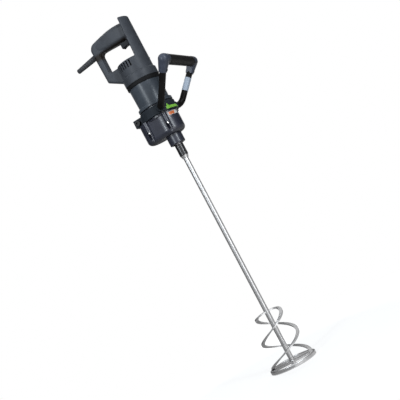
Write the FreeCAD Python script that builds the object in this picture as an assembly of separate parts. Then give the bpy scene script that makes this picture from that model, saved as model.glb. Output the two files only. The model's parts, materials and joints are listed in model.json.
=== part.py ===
import FreeCAD, Part
import math
import os

# Mixing drill with a closed rear handle, a bow handle and a ribbon paddle.
# Frame: +Z runs up the spindle, the origin is the foot of the paddle rod,
# +X points to the side of the bow handle. Millimetres and degrees.

V = FreeCAD.Vector

# Fits and cuts
OVERRUN = 3.0
SEAT_GAP = 0.02
RUN_GAP = 0.05
SLIDE_GAP = 0.35
SCREW_GAP = 0.12
FACE_GAP = 0.3

# Paddle: rod, ring, spokes and two ribbon strips
PADDLE_REACH = 600.0
ROD_R = 6.5
RING_R = 60.0
RING_WALL = 5.0
RING_H = 9.0
RING_ROUND = 1.5
SPOKE_W = 12.0
SPOKE_T = 5.0
PADDLE_TURN = 21.0
STRIP_W = 8.5
STRIP_T = 3.6
STRIP_TOP_Z = 141.0
STRIP_FOOT_Z = 6.0
STRIP_TOP_R = 30.5
STRIP_START_TURN = 25.0
STRIP_TURN = 400.0
STRIP_ARM_TURN = 12.0
STRIP_SECTIONS = 44
STRIP_STEP_POWER = 1.6
STRIP_ROOT_SHARE = 0.6

# Paddle adaptor: hexagon with a threaded stud, and the weld collar below it
HEX_FLATS = 21.0
HEX_LEN = 31.0
HEX_CHAMFER = 1.2
ADAPTOR_STUD_R = 7.0
ADAPTOR_STUD_LEN = 17.0
ROD_DEPTH = 14.0
COLLAR_LEN = 7.0
COLLAR_TOP_R = 10.0
COLLAR_TIP_R = 7.8

# Gear train: motor pinion, layshaft gear, layshaft pinion, spindle gear
STAGE1_MODULE = 1.0
STAGE1_PINION_TEETH = 9
STAGE1_GEAR_TEETH = 51
STAGE2_MODULE = 1.2
STAGE2_PINION_TEETH = 13
STAGE2_GEAR_TEETH = 47
PRESSURE_ANGLE = 25.0
ADDENDUM_SHARE = 0.8
DEDENDUM_SHARE = 1.12
BACKLASH = 0.16
FLANK_STEPS = 3
GEAR1_W = 8.5
GEAR2_W = 11.0
PINION_EXTRA = 1.0

# Gear case
CASE_WALL = 4.0
CASE_FLOOR = 5.0
CASE_ROUND = 12.0
ROOM_ROUND = 4.5
GEAR_ROOM = 2.0
CASE_LEDGE = 1.2
NOSE_GAP = 1.5
NECK_R = 20.0
NECK_LEN = 25.0
NECK_ROUND = 2.0
GEAR2_LIFT = 6.0
BRIDGE_LIFT = 3.0
BRIDGE_T = 10.0
BRIDGE_GAP = 0.2
BRIDGE_LIP = 2.0
BRIDGE_LIP_R = 10.5
GEAR1_LIFT = 2.5
GEAR1_HEADROOM = 5.0
CASE_SCREW_OUT = 2.0
CASE_SCREW_R = 2.5
CASE_SCREW_HEAD_R = 4.0
CASE_SCREW_HEAD_H = 5.0
CASE_SCREW_SOCKET_R = 2.0
CASE_SCREW_SOCKET_DEPTH = 2.5
CASE_SCREW_GRIP = 21.0
CASE_BOSS_R = 6.5
CHANNEL_GAP = 0.4
SPINDLE_SCREW_ANGLE = 66.0
LAYSHAFT_SCREW_ANGLE = 97.0

# Spindle and its bearings
SPINDLE_R = 10.0
SPINDLE_SHOULDER_R = 12.0
SPINDLE_SEAT_R = 9.0
SPINDLE_TOP_R = 7.0
THREAD_DEPTH = 22.0
SEAL_INSET = 1.5
SEAL_H = 5.0
SEAL_LIP_GAP = 0.1
LOW_BEARING_R = 16.0
LOW_BEARING_H = 10.0
BEARING_SPACE = 0.5
TOP_BEARING_R = 14.0
BEARING_SHOW = 0.3
KEY_W = 4.0
KEY_H = 4.0

# Layshaft and its bushes
LAYSHAFT_JOURNAL_R = 4.0
LAYSHAFT_SEAT_R = 6.2
LAYSHAFT_END_GAP = 0.5
BUSH_R = 7.0
LOW_BUSH_H = 6.5
LOW_BUSH_FLOOR = 2.5
BUSH_BOSS_WALL = 3.0
TOP_BUSH_H = 9.0
BRIDGE_SHAFT_GAP = 2.3

# Gear flange with the round collar that carries the clamp ring
PLATE_T = 4.0
FLANGE_COLLAR_R = 40.5
FLANGE_COLLAR_H = 26.5
FLANGE_WALL = 7.5
FRONT_BEARING_LIFT = 8.0
FRONT_BEARING_R = 14.0
FRONT_BEARING_H = 8.0
FRONT_JOURNAL_R = 6.0
SHAFT_HOLE_GAP = 0.8
FLANGE_SCREW_R = 2.0
FLANGE_SCREW_HEAD_R = 3.5
FLANGE_SCREW_HEAD_H = 4.0
FLANGE_SCREW_HEAD_INSET = 1.0
FLANGE_SCREW_EDGE = 4.3
FLANGE_SCREW_BITE = 6.0
FLANGE_SCREW_ANGLE = 45.0

# Motor housing and what it holds
MOTOR_H = 62.0
MOTOR_FOOT_R = 40.0
MOTOR_TOP_R = 41.5
MOTOR_LIP_OUT = 5.0
MOTOR_LIP_H = 8.0
MOTOR_LIP_ROUND = 2.0
MOTOR_MOUTH_STEP = 4.9
MOTOR_SPIGOT_R = 39.4
MOTOR_SPIGOT_H = 16.0
STATOR_R = 37.9
STATOR_LIFT = 14.0
STATOR_H = 42.0
STATOR_BORE_R = 23.5
COIL_IN_R = 24.5
COIL_OUT_R = 31.0
COIL_OVERHANG = 6.0
COIL_HALF_ANGLE = 38.0
ARMATURE_GAP = 0.6
ARMATURE_SLOTS = 12
ARMATURE_SLOT_W = 2.2
ARMATURE_SLOT_DEPTH = 8.0
ARMATURE_SHAFT_R = 5.5
REAR_JOURNAL_R = 4.0
WINDING_R = 19.0
WINDING_H = 8.0
WINDING_ROUND = 3.0
FAN_TIP_GAP = 2.0
FAN_H = 8.0
FAN_DISC_T = 1.6
FAN_HUB_R = 9.0
FAN_BLADES = 13
FAN_BLADE_T = 1.4
FAN_BLADE_IN_R = 14.0
FAN_FLOOR_GAP = 1.5
COMMUTATOR_R = 12.0
COMMUTATOR_H = 14.0
COMMUTATOR_LIFT = 4.0
COMMUTATOR_BARS = 18
COMMUTATOR_SLIT_W = 0.6
COMMUTATOR_SLIT_DEPTH = 1.0
BRUSH_W = 6.0
BRUSH_H = 8.0
BRUSH_LEN = 14.0
BRUSH_WALL = 1.2
BRUSH_FACE_GAP = 0.3
BRUSH_HOLDER_STANDOFF = 2.5
BRUSH_END_GAP = 3.9
BRUSH_PLATE_T = 3.0
REAR_BEARING_R = 11.0
REAR_BEARING_H = 8.0
REAR_BEARING_LIFT = 6.0
REAR_WEB_T = 4.0
REAR_HUB_WALL = 3.0

# Rubber ring between motor housing and handle
SEAL_RING_H = 10.0
SEAL_RING_R = 44.4
SEAL_RING_ROUND = 1.2

# Rear handle, split along the middle plane
WALL = 3.0
REAR_R = 41.5
REAR_H = 58.0
REAR_CAP_T = 4.0
RIM_ROUND = 4.0
HANDLE_COLLAR_R = 45.0
HANDLE_COLLAR_H = 21.0
COLLAR_SLOPE = 2.5
OPENING_H = 48.5
OPENING_RISE = 3.5
SPINE_IN_X = 23.0
SPINE_TOP_X = 20.5
SPINE_FOOT_X = 16.5
SPINE_ROUND = 2.8
SPINE_RISE = 11.5
CORE_X = 13.0
CORE_LAP = 4.0
FRAME_HALF_Y = 14.5
FRAME_ROUND = 6.5
FRAME_CORNER_ROUND = 10.0
OPENING_ROUND = 9.0
OPENING_FOOT_ROUND = 5.0
BAR_TOP_X = 88.3
BAR_FOOT_X = 85.8
BAR_IN_TOP_X = 69.5
BAR_IN_FOOT_X = 70.0
BAR_CORNER_ROUND = 17.0
BAR_FOOT_ROUND = 5.0
BAR_FOOT_DROP = 19.5
BAR_SHOULDER_DROP = 12.0
GRIP_H_SPINE = 42.0
GRIP_H_BAR = 37.5
GRIP_CORNER_X = 80.0
GRIP_CREST_X = 36.0
GRIP_CREST_RISE = 3.7
GRIP_CREST_ROUND = 150.0
GRIP_HALF_Y = 18.0
GRIP_ROUND = 13.0
GRIP_END_X = 72.0
GRIP_SKIN = 1.0
ARM_FOOT_DROP = 18.0
ARM_MOTOR_DROP = 45.0
ARM_MOTOR_X = 45.0
VENT_COUNT = 6
VENT_W = 4.0
VENT_H = 16.0
VENT_FIRST_ANGLE = 132.0
VENT_PITCH_ANGLE = 10.6

# Handle screws, along Y
HANDLE_BOSS_R = 4.5
HANDLE_SCREW_R = 1.9
HANDLE_SCREW_HEAD_R = 3.4
HANDLE_SCREW_HEAD_H = 2.6
HANDLE_SCREW_SINK = 4.5
HANDLE_SCREW_REACH_SHARE = 0.6
HANDLE_SLOT_W = 1.1
HANDLE_SLOT_DEPTH = 1.3

# Trigger, lock button and switch in the grip
TRIGGER_X = -1.0
TRIGGER_LEN = 20.0
TRIGGER_HALF_Y = 8.0
TRIGGER_DROP = 14.0
TRIGGER_NOSE_DROP = 17.0
TRIGGER_SCOOP = 2.5
TRIGGER_ROUND = 2.5
TRIGGER_FLANGE_OUT = 2.0
TRIGGER_FLANGE_T = 2.0
TRIGGER_TRAVEL = 7.0
LOCK_X = 3.0
LOCK_LIFT = 26.5
LOCK_R = 5.0
LOCK_PROUD = 2.5
LOCK_ROUND = 1.2
LOCK_TRAVEL = 2.2
LOCK_FLANGE_OUT = 1.3
LOCK_FLANGE_T = 1.0
SWITCH_LEN = 32.0
SWITCH_H = 13.0
SWITCH_SIDE_GAP = 0.3
SWITCH_SHIFT = 7.0
SWITCH_ROUND = 1.5

# Cable boot and the cord clamp behind it
BOOT_ABOVE_GRIP = 7.5
BOOT_TILT = 6.5
BOOT_LEN = 61.0
BOOT_ROOT_R = 7.8
BOOT_TIP_R = 6.0
BOOT_TIP_ROUND = 1.2
BOOT_NECK_R = 6.6
BOOT_FLANGE_R = 8.6
BOOT_FLANGE_T = 3.5
BOOT_FLANGE_INSET = 4.5
BOOT_BORE_R = 4.3
CORD_CLAMP_H = 11.0
CORD_CLAMP_DEPTH = 8.0
CORD_CLAMP_DROP = 26.0

# Clamp ring of the bow handle, with its ears, screw and nut
CLAMP_WALL = 6.0
CLAMP_H = 23.0
CLAMP_LIFT = 0.5
CLAMP_ROUND = 1.5
EAR_REACH = 23.5
EAR_HALF_Y = 12.5
EAR_H = 20.0
EAR_ROUND = 4.0
EAR_SLIT = 4.0
CLAMP_SCREW_INSET = 13.0
CLAMP_SCREW_R = 4.0
CLAMP_HEAD_R = 6.5
CLAMP_HEAD_H = 7.0
CLAMP_SOCKET_R = 3.4
CLAMP_SOCKET_DEPTH = 4.0
CLAMP_NUT_FLATS = 13.0
CLAMP_NUT_H = 6.5
CLAMP_TAIL = 2.0
SOCKET_R = 11.5
SOCKET_LAP = 2.5
SOCKET_OUT_R = 58.0
SOCKET_ROUND = 1.5
SOCKET_ANGLE = 60.0
SOCKET_LIFT = 12.0
SOCKET_BORE_FLOOR = 0.5
SOCKET_BOLT_R = 2.5
SOCKET_BOLT_HEAD_R = 4.2
SOCKET_BOLT_HEAD_H = 3.0
SOCKET_BOLT_PLACE_R = 53.0

# Bow handle
TUBE_R = 8.0
TUBE_WALL = 1.8
TUBE_BEND_R = 26.0
TUBE_BEND_PLACE_R = 76.5
BOW_X = 101.0
BOW_HALF_Y = 95.5
BOW_RISE = 82.5
ELBOW_R = 13.3
ELBOW_FOOT_R = 9.8
ELBOW_LEG = 31.0
ELBOW_TUBE_GAP = 18.0
ELBOW_MOUTH = 15.0
ELBOW_WEB_R = 11.4
ELBOW_WEB_TOP = 11.0
ELBOW_WEB_FOOT = 25.0
BOW_CORE_END = 5.0
BOW_GRIP_R = 12.8
BOW_GRIP_ROUND = 1.5
BOW_SCREW_R = 1.7
BOW_SCREW_HEAD_R = 3.2
BOW_SCREW_HEAD_H = 2.0
BOW_SCREW_PLACE = 25.0
BOW_SCREW_PROUD = 0.6
WRAP_T = 0.3
WRAP_LEN = 34.0
WRAP_DROP = 12.0

# Plain trim plates
BAND_T = 0.4
BAND_H = 6.5
BAND_LIFT = 1.5
BAND_HALF_ANGLE = 44.0
PLATE_TRIM_T = 0.35
PLATE_TRIM_H = 9.0
PLATE_TRIM_DROP = 0.4
PLATE_TRIM_FROM = -50.0
PLATE_TRIM_TO = -4.0

# Places that follow from the sizes above
CENTRE1 = STAGE1_MODULE * (STAGE1_PINION_TEETH + STAGE1_GEAR_TEETH) / 2
CENTRE2 = STAGE2_MODULE * (STAGE2_PINION_TEETH + STAGE2_GEAR_TEETH) / 2
LAY_X = -CENTRE2
MOTOR_X = LAY_X + CENTRE1
GEAR1_TIP_R = STAGE1_MODULE * (STAGE1_GEAR_TEETH / 2 + ADDENDUM_SHARE)
GEAR2_TIP_R = STAGE2_MODULE * (STAGE2_GEAR_TEETH / 2 + ADDENDUM_SHARE)
SPINDLE_LOBE_R = GEAR2_TIP_R + GEAR_ROOM + CASE_LEDGE + CASE_WALL
LAY_LOBE_R = GEAR1_TIP_R + GEAR_ROOM + CASE_WALL

NECK_Z = PADDLE_REACH + NOSE_GAP
CASE_Z = NECK_Z + NECK_LEN
FLOOR_Z = CASE_Z + CASE_FLOOR
GEAR2_Z = FLOOR_Z + GEAR2_LIFT
GEAR2_TOP_Z = GEAR2_Z + GEAR2_W
BRIDGE_Z = GEAR2_TOP_Z + BRIDGE_LIFT
BRIDGE_TOP_Z = BRIDGE_Z + BRIDGE_T
GEAR1_Z = BRIDGE_TOP_Z + GEAR1_LIFT
GEAR1_TOP_Z = GEAR1_Z + GEAR1_W
CASE_TOP_Z = GEAR1_TOP_Z + GEAR1_HEADROOM
PLATE_TOP_Z = CASE_TOP_Z + PLATE_T
MOTOR_Z = PLATE_TOP_Z + FLANGE_COLLAR_H
MOTOR_TOP_Z = MOTOR_Z + MOTOR_H
HANDLE_Z = MOTOR_TOP_Z + SEAL_RING_H
RIM_Z = HANDLE_Z + REAR_H
GRIP_Z = RIM_Z + OPENING_H
GRIP_TOP_Z = GRIP_Z + GRIP_H_SPINE
SPINE_TOP_Z = GRIP_TOP_Z + SPINE_RISE

FLANGE_SCREW_PITCH_R = FLANGE_COLLAR_R - FLANGE_SCREW_EDGE
FAN_RECESS_R = FLANGE_COLLAR_R - FLANGE_WALL
FAN_R = FAN_RECESS_R - FAN_TIP_GAP
MOTOR_LIP_R = FLANGE_COLLAR_R + MOTOR_LIP_OUT
MOTOR_MOUTH_R = min(FAN_RECESS_R, STATOR_R - MOTOR_MOUTH_STEP)
LOW_BEARING_Z = NECK_Z + SEAL_INSET + SEAL_H + BEARING_SPACE
FRONT_BEARING_Z = PLATE_TOP_Z + FRONT_BEARING_LIFT
FRONT_BEARING_TOP_Z = FRONT_BEARING_Z + FRONT_BEARING_H
FAN_FLOOR_Z = FRONT_BEARING_TOP_Z + BEARING_SPACE
FAN_Z = FAN_FLOOR_Z + FAN_FLOOR_GAP
STATOR_Z = MOTOR_Z + STATOR_LIFT
STATOR_TOP_Z = STATOR_Z + STATOR_H
COMMUTATOR_Z = STATOR_TOP_Z + WINDING_H + COMMUTATOR_LIFT
COMMUTATOR_TOP_Z = COMMUTATOR_Z + COMMUTATOR_H
BRUSH_Z = COMMUTATOR_Z + COMMUTATOR_H / 2
BRUSH_PLATE_Z = BRUSH_Z + BRUSH_H / 2 + BRUSH_WALL
BRUSH_PLATE_R = REAR_R - WALL - FACE_GAP
BRUSH_HOLDER_END_R = min(REAR_R - WALL, STATOR_R) - BRUSH_END_GAP
REAR_BEARING_Z = BRUSH_PLATE_Z + BRUSH_PLATE_T + REAR_BEARING_LIFT

CLAMP_Z = PLATE_TOP_Z + CLAMP_LIFT
CLAMP_R = FLANGE_COLLAR_R + CLAMP_WALL
EAR_X = CLAMP_R - MOTOR_X + EAR_REACH
CLAMP_SCREW_X = EAR_X - CLAMP_SCREW_INSET
SOCKET_IN_R = CLAMP_R - SOCKET_LAP
SOCKET_BORE_IN_R = CLAMP_R + SOCKET_BORE_FLOOR
SOCKET_Z = PLATE_TOP_Z + SOCKET_LIFT
BOOT_Z = GRIP_Z + BOOT_ABOVE_GRIP


def cylinder(radius, z0, z1, x=0, y=0):
    return Part.makeCylinder(radius, z1 - z0, V(x, y, z0))


def ring(r_out, r_in, z0, z1, x=0, y=0):
    hole = cylinder(r_in, z0 - OVERRUN, z1 + OVERRUN, x, y)
    return cylinder(r_out, z0, z1, x, y).cut(hole)


def box(x0, x1, y0, y1, z0, z1):
    return Part.makeBox(x1 - x0, y1 - y0, z1 - z0, V(x0, y0, z0))


def bar(start, end, radius, end_radius=None):
    """Round bar or cone from one point to another."""
    way = end - start
    if end_radius is None or end_radius == radius:
        return Part.makeCylinder(radius, way.Length, start, way)
    return Part.makeCone(radius, end_radius, way.Length, start, way)


def joined(shapes):
    whole = shapes[0].fuse(shapes[1:])
    return whole.removeSplitter()


def without(shape, cutters):
    return shape.cut(cutters)


def edges_at_height(shape, z):
    near = []
    for edge in shape.Edges:
        span = edge.BoundBox
        if abs(span.ZMin - z) < SEAT_GAP and abs(span.ZMax - z) < SEAT_GAP:
            near.append(edge)
    return near


def edges_at_y(shape, y):
    near = []
    for edge in shape.Edges:
        span = edge.BoundBox
        if abs(span.YMin - y) < SEAT_GAP and abs(span.YMax - y) < SEAT_GAP:
            near.append(edge)
    return near


def polar(radius, angle, z, x=0):
    turn = math.radians(angle)
    return V(x + radius * math.cos(turn), radius * math.sin(turn), z)


def rounded_wire(corners, radii):
    """Closed wire through the corners, each rounded by its own radius."""
    count = len(corners)
    starts = []
    ends = []
    arcs = []
    for i in range(count):
        here = corners[i]
        back = (corners[i - 1] - here).normalize()
        ahead = (corners[(i + 1) % count] - here).normalize()
        half = back.getAngle(ahead) / 2
        reach = radii[i] / math.tan(half)
        middle = (back + ahead).normalize()
        centre = here + middle * (radii[i] / math.sin(half))
        starts.append(here + back * reach)
        ends.append(here + ahead * reach)
        arcs.append(Part.Arc(starts[i], centre - middle * radii[i], ends[i]).toShape())
    edges = []
    for i in range(count):
        edges.append(arcs[i])
        after = starts[(i + 1) % count]
        edges.append(Part.LineSegment(ends[i], after).toShape())
    return Part.Wire(edges)


def lobes(r_spindle, r_lay, z0, z1):
    """Prism around the spindle and layshaft axes, joined by tangent sides."""
    lean = math.acos(-(r_spindle - r_lay) / CENTRE2)
    normal = V(math.cos(lean), math.sin(lean), 0)
    mirrored = V(normal.x, -normal.y, 0)
    spindle = V(0, 0, z0)
    lay = V(LAY_X, 0, z0)
    front = spindle + V(r_spindle, 0, 0)
    back = lay - V(r_lay, 0, 0)
    edges = [
        Part.Arc(spindle + mirrored * r_spindle, front, spindle + normal * r_spindle).toShape(),
        Part.LineSegment(spindle + normal * r_spindle, lay + normal * r_lay).toShape(),
        Part.Arc(lay + normal * r_lay, back, lay + mirrored * r_lay).toShape(),
        Part.LineSegment(lay + mirrored * r_lay, spindle + mirrored * r_spindle).toShape(),
    ]
    return Part.Face(Part.Wire(edges)).extrude(V(0, 0, z1 - z0))


def toothed(teeth, module, z0, z1, x, tooth_angle):
    """Spur gear prism, with one tooth centred on the given angle."""
    pitch_r = module * teeth / 2
    tip_r = pitch_r + module * ADDENDUM_SHARE
    root_r = pitch_r - module * DEDENDUM_SHARE
    pressure = math.radians(PRESSURE_ANGLE)
    base_r = pitch_r * math.cos(pressure)
    half_pitch_angle = (math.pi * module / 2 - BACKLASH) / (2 * pitch_r)
    flank_foot = max(base_r, root_r)
    flank = []
    for step in range(FLANK_STEPS + 1):
        radius = flank_foot + (tip_r - flank_foot) * step / FLANK_STEPS
        slant = math.acos(min(1, base_r / radius))
        spread = half_pitch_angle + math.tan(pressure) - pressure - math.tan(slant) + slant
        flank.append((radius, spread))
    if root_r < flank_foot:
        flank.insert(0, (root_r, flank[0][1]))
    points = []
    for tooth in range(teeth):
        centre = math.radians(tooth_angle) + 2 * math.pi * tooth / teeth
        for radius, spread in flank:
            turn = centre - spread
            points.append(V(x + radius * math.cos(turn), radius * math.sin(turn), z0))
        for radius, spread in reversed(flank):
            turn = centre + spread
            points.append(V(x + radius * math.cos(turn), radius * math.sin(turn), z0))
    points.append(points[0])
    return Part.Face(Part.makePolygon(points)).extrude(V(0, 0, z1 - z0))


def hexagon(flats, z0, z1):
    corner_r = flats / math.sqrt(3)
    points = [polar(corner_r, PADDLE_TURN + 60 * side, z0) for side in range(7)]
    return Part.Face(Part.makePolygon(points)).extrude(V(0, 0, z1 - z0))


# Paddle


def paddle_ring():
    band = ring(RING_R, RING_R - RING_WALL, 0, RING_H)
    return band.makeFillet(RING_ROUND, edges_at_height(band, 0) + edges_at_height(band, RING_H))


def paddle_rod():
    return cylinder(ROD_R, 0, adaptor_foot_z() + ROD_DEPTH)


def adaptor_foot_z():
    return PADDLE_REACH - HEX_LEN


def paddle_spokes():
    """Two flat bars from the rod to the ring, flush with the ring's top."""
    reach = RING_R - RING_WALL / 2
    flat = box(-reach, reach, -SPOKE_W / 2, SPOKE_W / 2, RING_H - SPOKE_T, RING_H)
    flat.rotate(V(0, 0, 0), V(0, 0, 1), PADDLE_TURN)
    return without(flat, [cylinder(ROD_R, -OVERRUN, RING_H + OVERRUN), paddle_ring()])


def strip_point(turned):
    """Middle of the strip after the given turn in degrees, from the rod down to the ring."""
    foot_r = RING_R - RING_WALL - STRIP_W / 2
    part = turned / STRIP_TURN
    wanted = STRIP_TOP_R + (foot_r - STRIP_TOP_R) * math.sin(math.pi / 2 * part)
    root = ROD_R * STRIP_ROOT_SHARE
    radius = root + (wanted - root) * (1 - math.exp(-turned / STRIP_ARM_TURN))
    lag = STRIP_ARM_TURN * (1 - math.exp(-turned / STRIP_ARM_TURN))
    whole = STRIP_TURN - STRIP_ARM_TURN
    height = STRIP_TOP_Z - (STRIP_TOP_Z - STRIP_FOOT_Z) * (turned - lag) / whole
    return polar(radius, PADDLE_TURN + STRIP_START_TURN - turned, height)


def paddle_strip(half_turn):
    """One ribbon strip: a flat bar wound once around the rod, welded at both ends."""
    nudge = STRIP_TURN / STRIP_SECTIONS / STRIP_SECTIONS
    sections = []
    for i in range(STRIP_SECTIONS + 1):
        turned = STRIP_TURN * (i / STRIP_SECTIONS) ** STRIP_STEP_POWER
        here = strip_point(turned)
        along = (strip_point(turned + nudge) - here).normalize()
        across = V(-along.y, along.x, 0).normalize() * (STRIP_W / 2)
        up = along.cross(across).normalize() * (STRIP_T / 2)
        corners = [here + across + up, here - across + up, here - across - up, here + across - up]
        sections.append(Part.makePolygon(corners + corners[:1]))
    strip = Part.makeLoft(sections, True, False)
    strip.rotate(V(0, 0, 0), V(0, 0, 1), half_turn)
    rod = cylinder(ROD_R, -OVERRUN, STRIP_TOP_Z + STRIP_W)
    trimmed = without(strip, [rod, paddle_ring(), paddle_spokes()])
    return max(trimmed.Solids, key=lambda solid: solid.Volume)


def paddle_adaptor():
    top = PADDLE_REACH
    foot = adaptor_foot_z()
    body = hexagon(HEX_FLATS, foot, top)
    corner_r = HEX_FLATS / math.sqrt(3)
    crown_h = (top - foot) + 2 * OVERRUN
    cone_r = corner_r - HEX_CHAMFER
    crown = Part.makeCone(cone_r + crown_h, cone_r, crown_h, V(0, 0, top - crown_h))
    body = body.common(crown)
    stud = cylinder(ADAPTOR_STUD_R, top - OVERRUN, top + ADAPTOR_STUD_LEN)
    bore = cylinder(ROD_R + SEAT_GAP, foot - OVERRUN, foot + ROD_DEPTH)
    return without(joined([body, stud]), [bore])


def paddle_collar():
    foot = adaptor_foot_z()
    cone = bar(V(0, 0, foot - COLLAR_LEN), V(0, 0, foot), COLLAR_TIP_R, COLLAR_TOP_R)
    bore = cylinder(ROD_R + SEAT_GAP, foot - COLLAR_LEN - OVERRUN, foot + OVERRUN)
    return without(cone, [bore])


# Spindle and gears


def key_box(extra):
    half = KEY_W / 2 + extra
    inner = SPINDLE_SEAT_R - KEY_H / 2 - extra
    outer = SPINDLE_SEAT_R + KEY_H / 2 + extra
    return box(inner, outer, -half, half, GEAR2_Z + PINION_EXTRA, GEAR2_TOP_Z - PINION_EXTRA)


def spindle():
    shoulder_z = LOW_BEARING_Z + LOW_BEARING_H + BEARING_SHOW
    steps = [
        cylinder(SPINDLE_R - RUN_GAP, PADDLE_REACH, shoulder_z + OVERRUN),
        cylinder(SPINDLE_SHOULDER_R, shoulder_z, GEAR2_Z),
        cylinder(SPINDLE_SEAT_R, GEAR2_Z, GEAR2_TOP_Z + BRIDGE_LIFT / 2),
        cylinder(SPINDLE_TOP_R - RUN_GAP, GEAR2_TOP_Z, BRIDGE_TOP_Z - BEARING_SHOW),
    ]
    bore = cylinder(ADAPTOR_STUD_R + SCREW_GAP, PADDLE_REACH - OVERRUN, PADDLE_REACH + THREAD_DEPTH)
    return without(joined(steps), [bore, key_box(SEAT_GAP)])


def spindle_key():
    return key_box(0)


def spindle_gear():
    phase = 180 + 180 / STAGE2_GEAR_TEETH
    wheel = toothed(STAGE2_GEAR_TEETH, STAGE2_MODULE, GEAR2_Z, GEAR2_TOP_Z, 0, phase)
    bore = cylinder(SPINDLE_SEAT_R + SEAT_GAP, GEAR2_Z - OVERRUN, GEAR2_TOP_Z + OVERRUN)
    return without(wheel, [bore, key_box(SEAT_GAP)])


def spindle_bearing_lower():
    return ring(LOW_BEARING_R - SEAT_GAP, SPINDLE_R, LOW_BEARING_Z, LOW_BEARING_Z + LOW_BEARING_H)


def spindle_bearing_upper():
    foot = BRIDGE_Z + BEARING_SHOW
    return ring(TOP_BEARING_R - SEAT_GAP, SPINDLE_TOP_R, foot, BRIDGE_TOP_Z - BRIDGE_LIP)


def spindle_seal():
    foot = NECK_Z + SEAL_INSET
    return ring(LOW_BEARING_R - SEAT_GAP, SPINDLE_R + SEAL_LIP_GAP, foot, foot + SEAL_H)


def layshaft():
    low = CASE_Z + LOW_BUSH_FLOOR + LAYSHAFT_END_GAP
    high = CASE_TOP_Z + TOP_BUSH_H - LAYSHAFT_END_GAP
    pinion_foot = GEAR2_Z - PINION_EXTRA
    pinion_top = GEAR2_TOP_Z + PINION_EXTRA
    steps = [
        cylinder(LAYSHAFT_JOURNAL_R - RUN_GAP, low, high, LAY_X),
        toothed(STAGE2_PINION_TEETH, STAGE2_MODULE, pinion_foot, pinion_top, LAY_X, 0),
        cylinder(LAYSHAFT_SEAT_R, pinion_top - PINION_EXTRA, GEAR1_TOP_Z, LAY_X),
    ]
    return joined(steps)


def layshaft_gear():
    phase = 180 / STAGE1_GEAR_TEETH
    wheel = toothed(STAGE1_GEAR_TEETH, STAGE1_MODULE, GEAR1_Z, GEAR1_TOP_Z, LAY_X, phase)
    bore = cylinder(LAYSHAFT_SEAT_R + SEAT_GAP, GEAR1_Z - OVERRUN, GEAR1_TOP_Z + OVERRUN, LAY_X)
    return without(wheel, [bore])


def layshaft_bush_lower():
    foot = CASE_Z + LOW_BUSH_FLOOR
    return ring(BUSH_R - SEAT_GAP, LAYSHAFT_JOURNAL_R, foot, foot + LOW_BUSH_H, LAY_X)


def layshaft_bush_upper():
    return ring(BUSH_R - SEAT_GAP, LAYSHAFT_JOURNAL_R, CASE_TOP_Z, CASE_TOP_Z + TOP_BUSH_H, LAY_X)


# Gear case


def case_screw_places():
    spindle_out = SPINDLE_LOBE_R + CASE_SCREW_OUT
    lay_out = LAY_LOBE_R + CASE_SCREW_OUT
    places = []
    for side in (-1, 1):
        places.append(polar(spindle_out, side * SPINDLE_SCREW_ANGLE, 0))
        places.append(polar(lay_out, side * LAYSHAFT_SCREW_ANGLE, 0, LAY_X))
    return places


def case_screw_seat_z():
    return PLATE_TOP_Z - CASE_SCREW_GRIP - PLATE_T


def gear_housing():
    body = lobes(SPINDLE_LOBE_R, LAY_LOBE_R, CASE_Z, CASE_TOP_Z)
    body = body.makeFillet(CASE_ROUND, edges_at_height(body, CASE_Z))
    boss_foot = CASE_Z + CASE_ROUND
    bosses = [cylinder(CASE_BOSS_R, boss_foot, CASE_TOP_Z, p.x, p.y) for p in case_screw_places()]
    bosses = [boss.makeFillet(CASE_SCREW_R, edges_at_height(boss, boss_foot)) for boss in bosses]
    neck = cylinder(NECK_R, NECK_Z, FLOOR_Z)
    neck = neck.makeFillet(NECK_ROUND, edges_at_height(neck, NECK_Z))
    body = joined([body, neck] + bosses)
    low_wall = CASE_WALL + CASE_LEDGE
    low_room = lobes(SPINDLE_LOBE_R - low_wall, LAY_LOBE_R - low_wall, FLOOR_Z, BRIDGE_Z + OVERRUN)
    low_room = low_room.makeFillet(ROOM_ROUND, edges_at_height(low_room, FLOOR_Z))
    high_room = lobes(SPINDLE_LOBE_R - CASE_WALL, LAY_LOBE_R - CASE_WALL, BRIDGE_Z, CASE_TOP_Z + OVERRUN)
    seal_seat = cylinder(LOW_BEARING_R, NECK_Z - OVERRUN, FLOOR_Z + OVERRUN)
    body = without(body, [low_room, high_room, seal_seat])
    bush_foot = CASE_Z + LOW_BUSH_FLOOR
    bush_wall = cylinder(BUSH_R + BUSH_BOSS_WALL, FLOOR_Z - OVERRUN, bush_foot + LOW_BUSH_H, LAY_X)
    bush_hole = cylinder(BUSH_R, bush_foot, CASE_TOP_Z, LAY_X)
    body = without(joined([body, bush_wall]), [bush_hole])
    return without(body, case_screw_cuts())


def case_screw_cuts():
    """Channels for the heads, open to the side, and the shank holes above them."""
    seat = case_screw_seat_z()
    wide = CASE_SCREW_HEAD_R + CHANNEL_GAP
    cuts = []
    for place in case_screw_places():
        out = place.y / abs(place.y)
        cuts.append(cylinder(wide, CASE_Z - OVERRUN, seat, place.x, place.y))
        far = place.y + out * (CASE_BOSS_R + OVERRUN)
        low_y = min(place.y, far)
        high_y = max(place.y, far)
        cuts.append(box(place.x - wide, place.x + wide, low_y, high_y, CASE_Z - OVERRUN, seat))
        cuts.append(cylinder(CASE_SCREW_R + SCREW_GAP, seat, CASE_TOP_Z + OVERRUN, place.x, place.y))
    return cuts


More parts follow.
